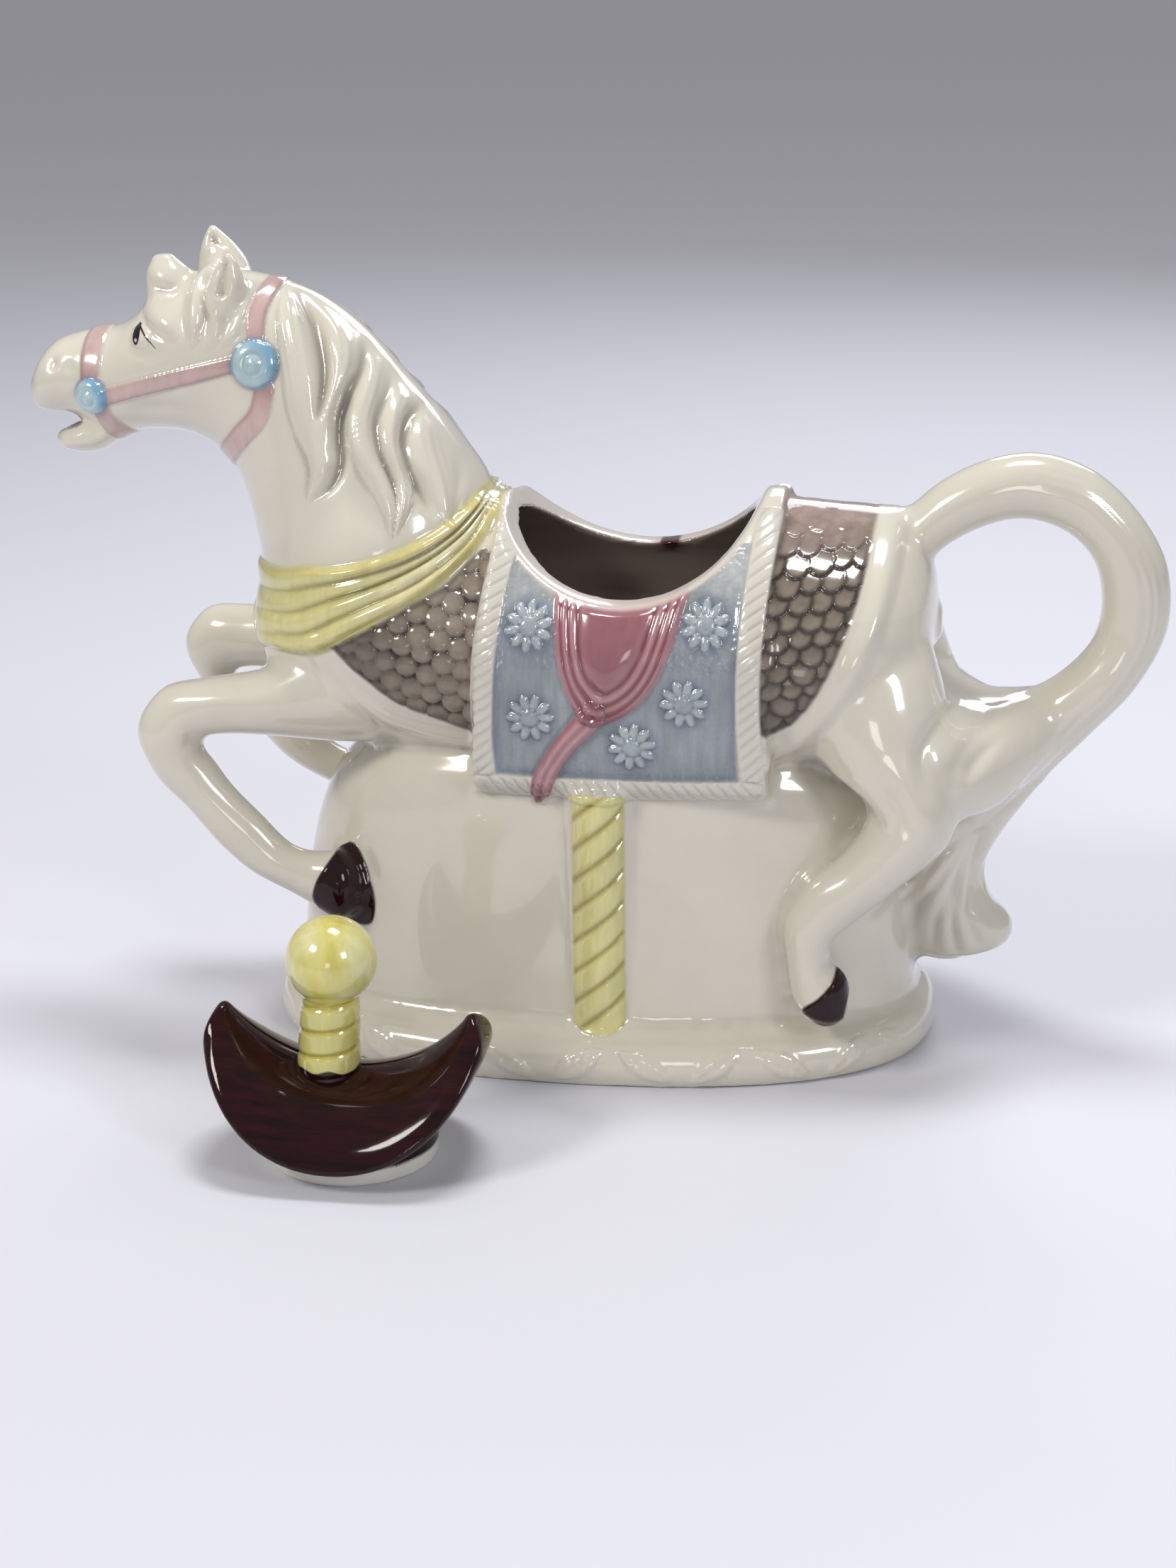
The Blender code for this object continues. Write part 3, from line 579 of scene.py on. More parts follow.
REAR_BAND = [
    (79, 156), (78.6, 144), (76.8, 131), (72.8, 118), (67.6, 107), (60, 97), (54, 91), (48, 88.5)]

ROPE_FRONT = [
    (-18.3, 153.5), (-20.2, 141), (-22.2, 128), (-23.7, 116), (-24.6, 104), (-24.9, 92), (-24.3, 80.2)]
ROPE_LOW = [(-24.6, 80.0), (-10, 79.8), (5, 79.8), (20, 79.8), (34, 80.0), (45.6, 80.4)]
ROPE_REAR = [(47.8, 154.5), (46.4, 141), (45.0, 127), (44.2, 113), (44.2, 100), (44.9, 90), (45.6, 80.6)]
FIELD = [
    (-17.5, 152), (-19.4, 137), (-20.9, 119), (-21.6, 105), (-21.9, 93), (-21.2, 83.6), (-8, 83.2),
    (10, 83.0), (28, 83.2), (41.4, 83.8), (40.9, 97), (41.2, 110), (41.9, 124), (43, 138), (44.6, 152)]
FLAP = [
    (-6.2, 134.3), (-5.6, 119.6), (-4.0, 110.3), (-1.1, 102.2), (1.3, 98.5), (6.1, 97.3), (11.0, 99.2),
    (15.9, 102.8), (20.8, 109.2), (24.4, 117.4), (27.2, 126.7), (29.0, 135)]
FLAP_PANEL = [
    (0.2, 131), (0.4, 123), (1.2, 115.7), (3.6, 109.6), (7.3, 106.3), (11.0, 108.2), (16.2, 115.0),
    (19.6, 124.5), (21.2, 131)]
GIRTH = [
    (4.6, 100.5, 3.6), (1.2, 96.6, 3.3), (-2.8, 92.2, 3.0), (-6.2, 87.2, 2.9), (-9.0, 81.8, 2.9),
    (-10.3, 77.6, 2.4), (-10.8, 75.8, 1.2)]
FLOWERS = [
    (-12.2, 122.3, 0.1), (-11.9, 99.0, 0.3), (33.1, 123.7, 0.0), (27.8, 103.9, 0.25), (14.4, 92.0, 0.15)]

# Straps of the bridle: x, z and half width
STRAPS = [
    [(-132.6, 197, 2.7), (-133.3, 191.3, 2.8), (-133.6, 186.3, 2.9), (-133.8, 178.4, 2.7)],
    [(-129.5, 174.3, 2.3), (-119.6, 177.2, 2.3), (-108.2, 180.3, 2.3), (-92.0, 184.5, 2.1)],
    [(-131.8, 171.3, 2.5), (-130.0, 166.6, 2.8), (-127.3, 162.4, 2.9), (-125.8, 159.5, 2.9)],
    [(-86.8, 189.1, 2.4), (-86.6, 198.2, 2.4), (-84.4, 203.5, 2.3), (-81.7, 207.7, 2.3),
     (-80.2, 212, 2.3)],
    [(-84.3, 178.4, 2.8), (-86.0, 171.9, 2.9), (-92.0, 165.4, 2.9), (-97.0, 160.2, 2.9),
     (-99.5, 157.0, 2.9)]]
ROSETTES = [(-133.6, 174.4, 4.5), (-86.9, 184.4, 6.1)]

NEAR_HOOF = [
    (-67.5, 56.5), (-63.5, 56.8), (-60.4, 53), (-58.6, 48), (-57.5, 40), (-58.5, 36), (-72, 38.5),
    (-73.6, 43.5), (-72.2, 49)]
OFF_HOOF = [(-69.5, 62.5), (-64, 60), (-60, 55), (-58, 50), (-58, 42), (-66, 41), (-75, 44), (-74.5, 50)]
HIND_HOOF = [
    (67.7, 35.6), (70.2, 34.8), (71.4, 31.2), (71.2, 26.1), (70.2, 21.5), (69, 15.5), (60.6, 16),
    (58.7, 21.6), (63.4, 26.3), (66.6, 30.2)]

# Soft ridges and grooves of muscle and hair: x, z, half width and height
TAIL_HAIR = [
    [(101.4, 61.2, 1.2, -0.3), (94.2, 55.4, 1.5, -0.8), (88.1, 47.7, 1.6, -0.9), (84.5, 41.3, 1.5, -0.5)],
    [(101.9, 60.7, 1.2, -0.3), (95.9, 52.1, 1.5, -0.9), (90.8, 45.0, 1.6, -1.1), (87.2, 39.1, 1.6, -0.9),
     (86.2, 34.6, 1.4, -0.3)],
    [(102.7, 60.7, 1.2, -0.3), (98.0, 49.9, 1.5, -1.0), (94.6, 41.8, 1.7, -1.3), (92.1, 34.7, 1.8, -1.2),
     (91.5, 27.3, 1.6, -0.6)],
    [(103.3, 60.5, 1.2, -0.3), (100.1, 51.1, 1.5, -1.1), (97.7, 44.2, 1.7, -1.4), (96.6, 36.7, 1.8, -1.4),
     (97.9, 26.9, 1.6, -0.8)],
    [(104.0, 60.5, 1.2, -0.3), (102.0, 50.1, 1.3, -1.1), (100.9, 42.6, 1.6, -1.3),
     (101.0, 36.9, 1.8, -1.2), (103.2, 29.6, 1.6, -0.6)],
    [(104.6, 60.8, 1.0, -0.3), (103.1, 51.3, 1.1, -0.8), (103.2, 44.4, 1.3, -0.9),
     (104.6, 38.0, 1.4, -0.7), (108.5, 33.2, 1.2, -0.2)],
    [(102.4, 60.4, 1.3, -0.2), (107.0, 64.1, 1.2, -0.5), (112.0, 68.7, 1.1, -0.5), (120, 77, 1.0, -0.3),
     (130, 91, 0.9, -0.1)],
    [(103.4, 63.2, 1.4, -0.2), (109.4, 70.6, 1.3, -0.5), (116.0, 78.3, 1.2, -0.5), (124, 88, 1.0, -0.3),
     (134, 104, 0.9, -0.1)]]
MUSCLE = [
    [(73.4, 84.7, 3.0, -0.2), (78.5, 82.7, 3.2, -0.8), (82.8, 78.6, 3.2, -1.0), (84.8, 73.8, 3.0, -0.7),
     (85.4, 69.0, 2.6, -0.1)],
    [(90.5, 78.0, 2.6, -0.1), (88.2, 86.6, 2.6, -0.8), (88.3, 91.5, 2.6, -1.0), (90.6, 95.9, 2.4, -0.8),
     (95.0, 99.7, 2.2, -0.2)],
    [(95.2, 77.1, 2.4, -0.1), (96.0, 83.7, 2.6, -0.7), (99.3, 89.6, 2.6, -0.9), (104.6, 94.0, 2.2, -0.5),
     (109.5, 97.0, 1.8, -0.1)],
    [(99.6, 81.5, 1.6, -0.2), (101.0, 85.5, 2.3, -1.3), (103.8, 88.6, 2.3, -1.3),
     (107.9, 90.4, 1.2, -0.2)],
    [(81.1, 92.1, 3.6, 0.1), (84.3, 84.7, 3.6, 0.9), (88.0, 78.4, 3.4, 0.9), (92.7, 71.0, 3.0, 0.1)],
    [(99.4, 59.6, 1.8, -0.2), (90.6, 53.4, 1.8, -1.0), (83.3, 47.0, 1.9, -1.2), (76.5, 41.1, 1.8, -0.6)],
    [(52.8, 86.0, 2.4, -0.1), (61.5, 81.4, 2.3, -0.8), (68.7, 77.9, 2.2, -0.9), (74.8, 74.6, 2.0, -0.5),
     (79.0, 71.2, 1.6, -0.1)],
    [(-62.2, 159.9, 3.0, -0.1), (-59.9, 152.7, 3.4, -0.7), (-55.3, 147.7, 3.2, -0.7),
     (-49.6, 143.8, 2.4, -0.1)],
    [(-112, 99.4, 3.0, 0.1), (-100, 98.6, 3.0, 0.7), (-88, 99.4, 3.4, 0.6), (-78, 100, 3.0, 0.1)],
    [(-70.5, 117, 1.6, -0.1), (-66.8, 107.5, 1.6, -0.6), (-61, 99.8, 1.6, -0.6), (-54, 93.4, 1.6, -0.5),
     (-44, 89.4, 1.6, -0.2)]]
FACE = [
    [(-120.0, 196.0, 1.8, 0.2), (-116.7, 196.5, 3.0, 1.1), (-113.1, 195.2, 3.2, 1.2),
     (-109.9, 193.4, 2.6, 0.7), (-107.2, 190.7, 1.8, 0.1)],
    [(-119.3, 194.9, 0.8, -0.1), (-116.6, 193.3, 0.9, -0.5), (-113.6, 191.4, 1.0, -0.5),
     (-109.3, 189.4, 1.0, -0.1)],
    [(-121.6, 186.6, 1.6, -0.1), (-118.0, 185.8, 1.8, -0.5), (-113.8, 186.6, 1.8, -0.4),
     (-110.5, 188.6, 1.5, -0.1)],
    [(-124.5, 169.4, 2.6, -0.1), (-117.8, 171.4, 2.8, -0.7), (-110.0, 171.6, 2.8, -0.5),
     (-103, 170.4, 2.2, -0.1)],
    [(-101.7, 209.1, 1.2, 0.4), (-103.1, 205.1, 2.0, 1.5), (-103.4, 200.7, 2.2, 1.8),
     (-103.1, 196.2, 2.3, 1.8), (-103.1, 192.6, 1.8, 1.2), (-103.7, 189.2, 0.7, 0.2)],
    [(-100.8, 204.5, 0.7, -0.3), (-100.6, 200.0, 0.9, -1.0), (-100.0, 196.4, 1.0, -1.0),
     (-100.8, 192.8, 0.9, -0.4)],
    [(-100.0, 202.5, 1.0, 0.4), (-98.6, 199.0, 1.7, 1.2), (-97.0, 195.4, 1.9, 1.3),
     (-97.6, 191.8, 1.5, 0.8), (-100.0, 188.6, 0.7, 0.1)],
    [(-88.9, 201.1, 0.9, 0.3), (-90.6, 197.1, 1.6, 1.0), (-92.3, 193.1, 1.6, 0.9),
     (-95.8, 188.8, 0.7, 0.1)],
    [(-117.9, 203.4, 1.2, -0.1), (-114.7, 202.0, 1.5, -0.9), (-111.4, 201.9, 1.5, -0.9),
     (-108.4, 203.4, 1.2, -0.1)],
    [(-106.6, 208, 2.2, -0.1), (-107.2, 202, 2.4, -0.8), (-107.0, 196, 2.2, -0.6),
     (-106.4, 191, 1.6, -0.1)],
    [(-144.9, 180.0, 1.2, -0.2), (-144.6, 182.4, 1.4, -1.0), (-143.4, 184.0, 1.0, -0.2)],
    [(-141.2, 179.0, 1.6, -0.1), (-140.4, 181.5, 1.9, -0.5), (-139.6, 184.0, 1.6, -0.1)],
    [(-153.0, 171.6, 0.9, 0.1), (-148.6, 170.2, 1.2, 0.5), (-144.6, 168.4, 1.0, 0.1)]]
LASHES = [
    [(-121.4, 191.5, 0.1), (-120.5, 192.7, 0.2), (-119.5, 193.4, 0.28)],
    [(-119.6, 193.5, 0.3), (-117.7, 191.7, 0.3), (-115.7, 189.6, 0.2), (-114.0, 187.9, 0.1)]]


def strokes(form, table, ok):
    """Soft ridges and grooves: height and half width change along each line."""
    for line in table:
        reach = 2.6 * max(row[2] for row in line)
        near, distance, _, _, rest = form.along(line, reach, ok)
        form.raise_by(rest[:, 1] * hump(distance, rest[:, 0]), near)


def mane(form):
    ok = (form.z > 138) & (form.x < -26)
    locks = np.zeros(len(form.x))
    for line in LOCKS:
        near, distance, side, _, rest = form.along(line, 6, ok)
        width = rest[:, 0]
        share = distance / width
        rise = np.minimum(width * 0.75, 2.6) * dome(share) ** 1.2
        rise += 0.16 * np.cos(2 * math.pi * side * distance / 1.9 + 1) * step(1 - share, 0, 0.4)
        locks[near] = np.maximum(locks[near], rise)
    sheet = 1.3 * step(form.inside(MANE, 5, ok=ok), -2.5, 2.5)
    form.raise_by(np.maximum(locks, sheet) * step(form.facing, 0.25, 0.75))
    for line in PARTINGS:
        near, distance, _, _, rest = form.along(line, 6, ok)
        grooves = rest[:, 1] * hump(distance, rest[:, 0])
        form.raise_by(-grooves * step(form.facing[near], 0.15, 0.6), near)
        # painted shade: the partings between locks darkened, where shade falls
        form.paint(0.35 * grooves / 2.8, "#8d8574", near)


def sash(form):
    """Knotted cloth round the breast, in folds, lying over the neck joint."""
    ok = form.z > 100
    inside = form.inside(SASH_TOP + SASH_LOW[::-1], 5, ok=ok)
    top, low = np.full((2, len(form.x)), 1e3)
    for edge, line in ((top, SASH_TOP), (low, SASH_LOW)):
        near, distance = form.along(line, 30, ok)[:2]
        edge[near] = distance
    across = top / (top + low)
    bend = 0.05 * np.sin(form.x / 11.0 + 0.6)
    folds = np.abs(np.sin(math.pi * 4 * (across + bend)))
    cover = step(inside, -0.6, 1.4) * np.maximum(step(form.facing, 0.15, 0.5), step(form.x, -70, -85))
    gather_up = step(form.x, -97, -62)
    swell = 0.5 * (1 - gather_up) * np.sin(math.pi * np.clip(across, 0, 1))
    form.raise_by((form.z <= SASH_KNOT_TOP) * cover * (1.0 + 1.5 * gather_up * folds ** 0.8 + swell))
    form.paint(step(inside, -1.6, 1.4), YELLOW, finish=WASHED)
    form.paint(0.7 * step(form.x, -66, -40) * step(inside, 0, 2), "#d3ccae")
    deep = hump(folds, 0.42) * step(inside, 0, 2) * gather_up
    form.paint(deep * 0.66, OLIVE)
    form.paint(0.55 * hump(inside - 0.6, 1.3) * step(inside, -0.8, 0.4), "#bcae57")


def scales(form, outline, rows, lean, band, lapped):
    """Umber scales in staggered rows, with painted shade in the hollows between them; lapped ones lie over
    the row below.
    """
    ok = (form.out > (-1 if lapped else 18)) & (form.z > 86)
    inside = form.inside(outline, 3, ok=ok)
    where = np.flatnonzero(inside > -1.5)
    x, z, depth = form.x[where], form.z[where], inside[where]
    c, s = math.cos(lean), math.sin(lean)
    u, v = x * c + z * s, -x * s + z * c
    pitch = 5.7
    row = np.rint(v / rows)
    height, shadow = np.full(len(x), -9.0), np.full(len(x), 9.0)
    taken = np.zeros(len(x), bool)
    for ahead in (2, 1, 0, -1, -2):
        r = row + ahead
        offset = 0.5 * (r % 2)
        for beside in (-1, 0, 1):
            k = np.rint(u / pitch - offset) + beside
            chance = np.sin(k * 12.9898 + r * 78.233) * 43758.5453
            chance = chance - np.floor(chance) - 0.5
            rise_v = v - (r + 0.12 * np.sin(9 * chance)) * rows
            size = 3.25 + 0.4 * chance
            gap = np.hypot(u - (k + offset + 0.12 * chance) * pitch, rise_v * 1.02) / size
            if lapped:
                shadow = np.where(~taken, np.minimum(shadow, np.abs(gap - 1) * size), shadow)
                fresh = (gap < 1) & ~taken
                height[fresh] = (0.55 - 0.65 * rise_v / size + 0.22 * dome(gap))[fresh]
                taken |= fresh
            else:
                rise = 1.15 * dome(gap) ** 0.8 - 0.35 * rise_v / size
                height = np.maximum(height, np.where(gap < 1, rise, -9))
    height = np.clip(height, 0, 1.7)
    cover = step(depth, -0.8, 0.8)
    fade = 1 - 0.85 * step(z, 136, 147)
    form.raise_by(cover * (fade * height - 0.7), where)
    form.paint(cover, UMBER, where, finish=DEEP)
    form.paint(cover * 0.6 * step(height, 0.7, 1.4), PALE_UMBER, where)
    # painted shade: dark umber under each lapped scale's edge, and in the low ground between raised scales
    line = hump(shadow, 0.75) if lapped else 1 - step(height, 0.1, 0.8)
    form.paint(cover * line * 0.8 * fade, DARK_UMBER, where)
    form.paint(0.6 * cover * step(z, 134, 148), "#a58f88", where)
    low_end = step(108 - z, 0, 16) if lapped else step(-40 - x, 0, 20)
    form.paint(0.45 * cover * low_end, DARK_UMBER, where)
    form.paint(step(depth, -0.9, 0.2) * (1 - step(depth, 0.2, 1.8)) * 0.55 * fade, DARK_UMBER, where)
    near, distance = form.along(band, 6, ok)[:2]
    form.raise_by(1.2 * (1 - step(distance / 4.2, 0, 1)), near)


def rope(form, line, half, pitch):
    """Twisted cord round the cloth: rounded, with slanting turns."""
    ok = (form.out > 12) & (form.z > 72)
    near, distance, side, place, _ = form.along(line, half + 1, ok)
    share = distance / half
    turns = np.abs(np.sin(math.pi * (place + 0.75 * side * distance) / pitch))
    cord = dome(share) ** 0.7 - 0.32 * hump(turns, 0.42) * step(1 - share, 0, 0.4)
    form.relief[near] = np.maximum(form.relief[near], 0) * (share > 1) + np.where(share <= 1, cord, 0)
    form.paint(step(1 - share, -0.05, 0.2), "#cbc7bc", near, finish=PLAIN)
    # painted shade in the grooves between the cord's turns
    form.paint(0.25 * hump(turns, 0.4) * step(1 - share, 0, 0.3), "#8f8a86", near)


def cloth(form):
    """Saddle cloth: rope edge, washed blue field with flowers, rose flap and girth strap."""
    ok = (form.out > 24) & (form.z > 72)
    field = form.inside(FIELD, 4, smooth=False, ok=ok)
    cover = step(field, -1.0, 0.6)
    form.paint(cover, CLOTH_BLUE, finish=WOVEN)
    form.paint(cover * 0.75 * step(form.z, 118, 140), PALE_BLUE)
    form.paint(cover * 0.55 * hump(field, 1.7) * (1 - step(form.z, 112, 138)), BLUE_POOL)
    form.raise_by(-0.25 * cover)
    for x, z, phase in FLOWERS:
        near = np.flatnonzero(ok & (np.hypot(form.x - x, form.z - z) < 9))
        dx, dz = form.x[near] - x, form.z[near] - z
        radius, angle = np.hypot(dx, dz), np.arctan2(dz, dx) + phase
        form.paint(0.7 * (1 - step(radius, 4.5, 8.6)), BLUE_POOL, near)
        turn = 2 * math.pi / 10
        offset = (angle % turn) - turn / 2
        sideways, outward = radius * np.sin(offset), radius * np.cos(offset) - 4.1
        petal = dome(np.minimum(np.hypot(outward / 2.2, sideways / 1.18), 1))
        form.raise_by(0.95 * petal ** 0.8, near)
        form.paint(0.92 * step(petal, 0.0, 0.6), "#a6afb3", near)
        middle = dome(np.minimum(radius / 2.4, 1))
        form.relief[near] = np.where(radius < 2.4, 0.5 + 0.9 * middle ** 0.6, form.relief[near])
        form.paint(step(middle, 0, 0.4), "#9aa4aa", near)
        form.paint(0.5 * hump(radius - 2.45, 0.35), "#8b98a5", near)
    near, distance, side, place, rest = form.along(GIRTH, 5, ok)
    share = distance / rest[:, 0]
    ribs = np.cos(side * share * 8.5)
    strap = 1.5 * dome(share) ** 0.6 - 0.3 * ribs * step(1 - share, 0, 0.4)
    for part in (ROPE_FRONT, ROPE_REAR, ROPE_LOW):
        rope(form, part, 3.3, 3.15)
    under = form.relief[near]
    form.relief[near] = np.where(share < 1, np.maximum(under, 0.4) + 0.8 * strap, under)
    edge = step(1 - share, -0.05, 0.15)
    form.paint(edge, ROSE, near, finish=WASHED)
    form.paint(edge * 0.25 * (1 - ribs), "#c3a3a3", near)
    form.paint(edge * 0.8 * step(place, 22, 27), WINE, near)
    form.paint(edge * 0.5 * step(share, 0.6, 1.0), WINE, near)
    flap = form.inside(FLAP, 3, ok=ok)
    panel = form.inside(FLAP_PANEL, 9, ok=ok)
    inside = flap > 0
    ring = np.clip(flap / np.maximum(flap - np.minimum(panel, 0), 1e-6), 0, 1)
    form.relief = np.where(inside, np.maximum(form.relief, -0.2), form.relief)
    form.raise_by(np.where(inside, 1.7 * step(flap, 0, 1.6), 0))
    lines = hump(ring - 0.30, 0.085) + hump(ring - 0.62, 0.085)
    border = hump(panel, 0.75)
    form.raise_by(np.where(inside, -0.5 * lines * (panel < 0) - 0.55 * border, 0))
    form.raise_by(np.where(inside & (panel > 0), 0.5 * step(panel, 0, 4), 0))
    form.paint(step(flap, -0.5, 0.4), ROSE, finish=WASHED)
    form.paint(0.45 * inside * (panel < 0) * (1 - lines), "#bf999d")
    form.paint(0.85 * inside * np.clip(lines * (panel < 0) + border, 0, 1), WINE)
    form.paint(0.55 * step(panel, 0.5, 3.0), "#824c56")
    form.paint(0.6 * inside * (1 - step(form.z, 99.5, 104.5)), WINE)
    form.paint(0.5 * inside * hump(form.z - 131.8, 1.4), WINE)


def twisted_pole(form):
    """Brass-yellow pole with a slow twist."""
    across = form.x - POLE_X
    turn = np.arctan2(across, form.out - POLE_OUT)
    radius = np.hypot(across, form.out - POLE_OUT)
    here = (radius < 8.6) & (form.out > 39.3) & (form.z < 78.5) & (form.z > 7.0) & (np.abs(turn) < 1.5)
    near = np.flatnonzero(here)
    lift = (form.z[near] - 5.8 * turn[near]) / 8.6
    valley = hump(np.abs(np.sin(math.pi * lift)), 0.36)
    edge = step(7.3 - np.abs(across[near]), 0, 0.9) * step(form.z[near], 8.0, 10.0)
    form.raise_by(edge * (0.3 - 0.75 * valley), near)
    form.paint(edge, "#d3cd8d", near, finish=WASHED)
    form.paint(edge * valley * 0.75, "#a8964a", near)
    form.paint(0.5 * edge * (1 - step(form.z[near], 9, 13)), "#a8964a", near)
    form.paint(0.35 * edge * step(np.abs(across[near]), 5.0, 7.0), "#b7ab4e", near)


def bridle(form):
    ok = (form.z > 152) & (form.x < -74)
    for line in STRAPS:
        near, distance, side, place, rest = form.along(line, 5, ok)
        share = distance / rest[:, 0]
        form.raise_by(0.75 * dome(share) ** 0.5, near)
        cover = step(1 - share, -0.12, 0.2)
        form.paint(cover * 0.95, STRAP, near, finish=WASHED)
        form.paint(cover * 0.3 * hump(share - 0.85, 0.25) * (side < 0), WINE, near)
        ends = hump(place, 2.5) + hump(place.max() - place, 2.5)
        form.paint(cover * 0.35 * ends, WINE, near)
    for x, z, size in ROSETTES:
        near = np.flatnonzero(ok & (np.hypot(form.x - x, form.z - z) < size + 2.5) & (form.facing > 0.2))
        dx, dz = form.x[near] - x, form.z[near] - z
        radius = np.hypot(dx, dz)
        share = radius / size
        button = 2.4 * dome(share) ** 0.9
        button += 0.5 * hump(share, 0.22) - 0.45 * hump(share - 0.42, 0.1)
        form.relief[near] = np.where(radius < size, 0.4 + button, form.relief[near])
        form.paint(step(size - radius, -0.4, 0.3), SKY, near, finish=WASHED)
        swirl = step(dx / size + 0.6 * dz / size, -0.2, 0.9) * step(share, 0.25, 0.8)
        form.paint(0.8 * swirl * step(size - radius, -0.3, 0.4), DEEP_SKY, near)
        rim = hump(radius - size, 0.7)
        form.paint(0.6 * rim, "#5f8fb0", near)


def face(form):
    ok = (form.z > 155) & (form.x < -84) & (form.facing > 0.12)
    strokes(form, FACE, ok)
    # hollow of each ear, open to the side, darkened inside as painted shade
    for side, low, high, low_x, high_x in ((-1, 200.5, 212, -95.6, -94.4), (1, 203.5, 215, -102.0, -105.0)):
        near = np.flatnonzero((form.y * side > 9) & (form.z > low - 1) & (form.x < -84) & (form.x > -112))
        along = np.clip((form.z[near] - low) / (high - low), 0, 1)
        middle = low_x + (high_x - low_x) * along
        width = 2.2 * np.sqrt(np.sin(math.pi * np.clip(along, 0.03, 0.97)))
        dip = hump(form.x[near] - middle, width) * step(form.facing[near], 0.2, 0.6)
        dip *= step(form.z[near], low, low + 1.5) * step(high - form.z[near], 0, 2)
        form.raise_by(-1.9 * dip, near)
        # painted shade in the ear's hollow
        form.paint(0.35 * dip, "#9b948b", near)
    # eye: ball, dark almond, lid line and lashes
    near = np.flatnonzero(ok & (np.hypot(form.x + 119.2, form.z - 190.6) < 8))
    x, z = form.x[near], form.z[near]
    ball = np.hypot((x + 118.6) / 3.4, (z - 190.4) / 2.9)
    form.raise_by(0.9 * dome(ball), near)
    almond = np.hypot((x + 119.45 - 0.07 * (z - 190.9)) / (1.18 - 0.05 * (z - 190.9)), (z - 190.9) / 2.7)
    form.paint(step(1 - almond, -0.08, 0.1), INK, near, finish=DEEP)
    glint = np.hypot((x + 119.5) / 0.42, (z - 189.3) / 0.42)
    form.paint(0.9 * step(1 - glint, -0.3, 0.4), "#d9d9d6", near)
    for lash in LASHES:
        here, distance, _, _, rest = form.along(lash, 1.5, ok)
        form.paint(step(1 - distance / rest[:, 0], -0.2, 0.4), INK, here, finish=DEEP)


def hooves(form):
    """Dark hooves, painted on the legs only, which stand out from the mound."""
    front, hind = form.x < -50, (form.out > 39) & (form.z > 12.6)
    for outline, rise, ok in ((NEAR_HOOF, 0.35, front & (form.y < -LEG_OUT)),
                              (OFF_HOOF, 0.35, front & (form.y > LEG_OUT)), (HIND_HOOF, 0.4, hind)):
        depth = form.inside(outline, 2, ok=ok)
        form.raise_by(rise * step(depth, 0, 0.8))
        form.paint(step(depth, -0.35, 0.35), HOOF, finish=DARK)


def leafy_foot(form):
    """Leaves in low relief round the foot of the mound."""
    near = np.flatnonzero((form.z < 13.5) & (form.out > 0))
    x, y, z = form.x[near], form.y[near], form.z[near]
    half_long, half_wide = FOOT_HALF
    turn = np.arctan2(y / half_wide, x / half_long)
    table = np.linspace(-math.pi, math.pi, 1441)
    ring_x, ring_y = signed_power(np.cos(table), 2 / OVAL), signed_power(np.sin(table), 2 / OVAL)
    steps = np.hypot(half_long * np.diff(ring_x), half_wide * np.diff(ring_y))
    lengths = np.concatenate([[0], np.cumsum(steps)])
    angle = np.arctan2(ring_y, ring_x)
    place = np.interp(turn, angle, lengths)
    count = 26
    cell = lengths[-1] / count
    index = np.floor(place / cell)
    across = place - (index + 0.5) * cell
    lean = np.where(index % 2 < 1, 0.55, -0.5)
    u = across * np.cos(lean) + (z - 6.0) * np.sin(lean)
    v = -across * np.sin(lean) + (z - 6.0) * np.cos(lean)
    length, half = 8.2, 3.3 + 0.4 * np.sin(index * 2.3)
    share = np.clip(np.abs(u) / length, 0, 1)
    blade = half * (1 - share ** 1.8)
    body = np.clip(1 - np.abs(v) / np.maximum(blade, 0.2), 0, 1) * (np.abs(u) < length)
    leaf = 0.95 * step(body, 0, 0.35) - 0.4 * hump(v, 0.5) * (body > 0)
    leaf += 0.12 * np.cos(u * 2 * math.pi / 2.6 - np.abs(v) * 1.2) * (body > 0.1)
    steep = step(np.hypot(form.normals[near, 0], form.normals[near, 1]), 0.35, 0.75)
    form.raise_by(0.6 * leaf * steep * step(z, 0.8, 2.5) * step(87 - np.abs(x), 0, 9), near)


def from_dip(form):
    """How far points lie outside the round cut of the saddle opening."""
    return np.hypot(form.x - DIP_CENTRE[0], form.z - DIP_CENTRE[1]) - DIP_RADIUS


def rim(form):
    """Saddle rim: smooth blushing lip, with a wine-coloured run of glaze on the far side."""
    away = from_dip(form)
    near = np.flatnonzero((away < 6) & (form.z < DIP_TOP) & (form.out > 6))
    form.relief[near] *= step(away[near], 0.4, 3.2)
    form.paint(1 - step(away[near], 0.3, 1.7), "#cdc5ba", near, finish=PLAIN)
    side = form.y[near]
    blush = (side < 0) & (np.abs(form.x[near] - 10) < 18)
    form.paint(0.30 * (1 - step(away[near], 0.6, 2.4)) * blush, "#b98f92", near)
    far = near[side > 0]
    along = step(form.x[far], -2, 8) * (1 - step(form.x[far], 30, 38))
    form.paint(0.7 * along * hump(away[far] - 1.2, 0.8), "#8c4a55", far)


def wine_run(form):
    """A drop of wine-coloured glaze that ran over the far lip into the pot."""
    away = from_dip(form)
    drop = np.hypot((form.x - 15) / 3.1, (away - 1) / 3)
    near = np.flatnonzero((drop < 1.2) & (form.y > 22) & (form.y < 37) & (form.z < 140))
    form.paint(step(1 - drop[near], -0.1, 0.2), "#3a0a14", near, finish=DEEP)


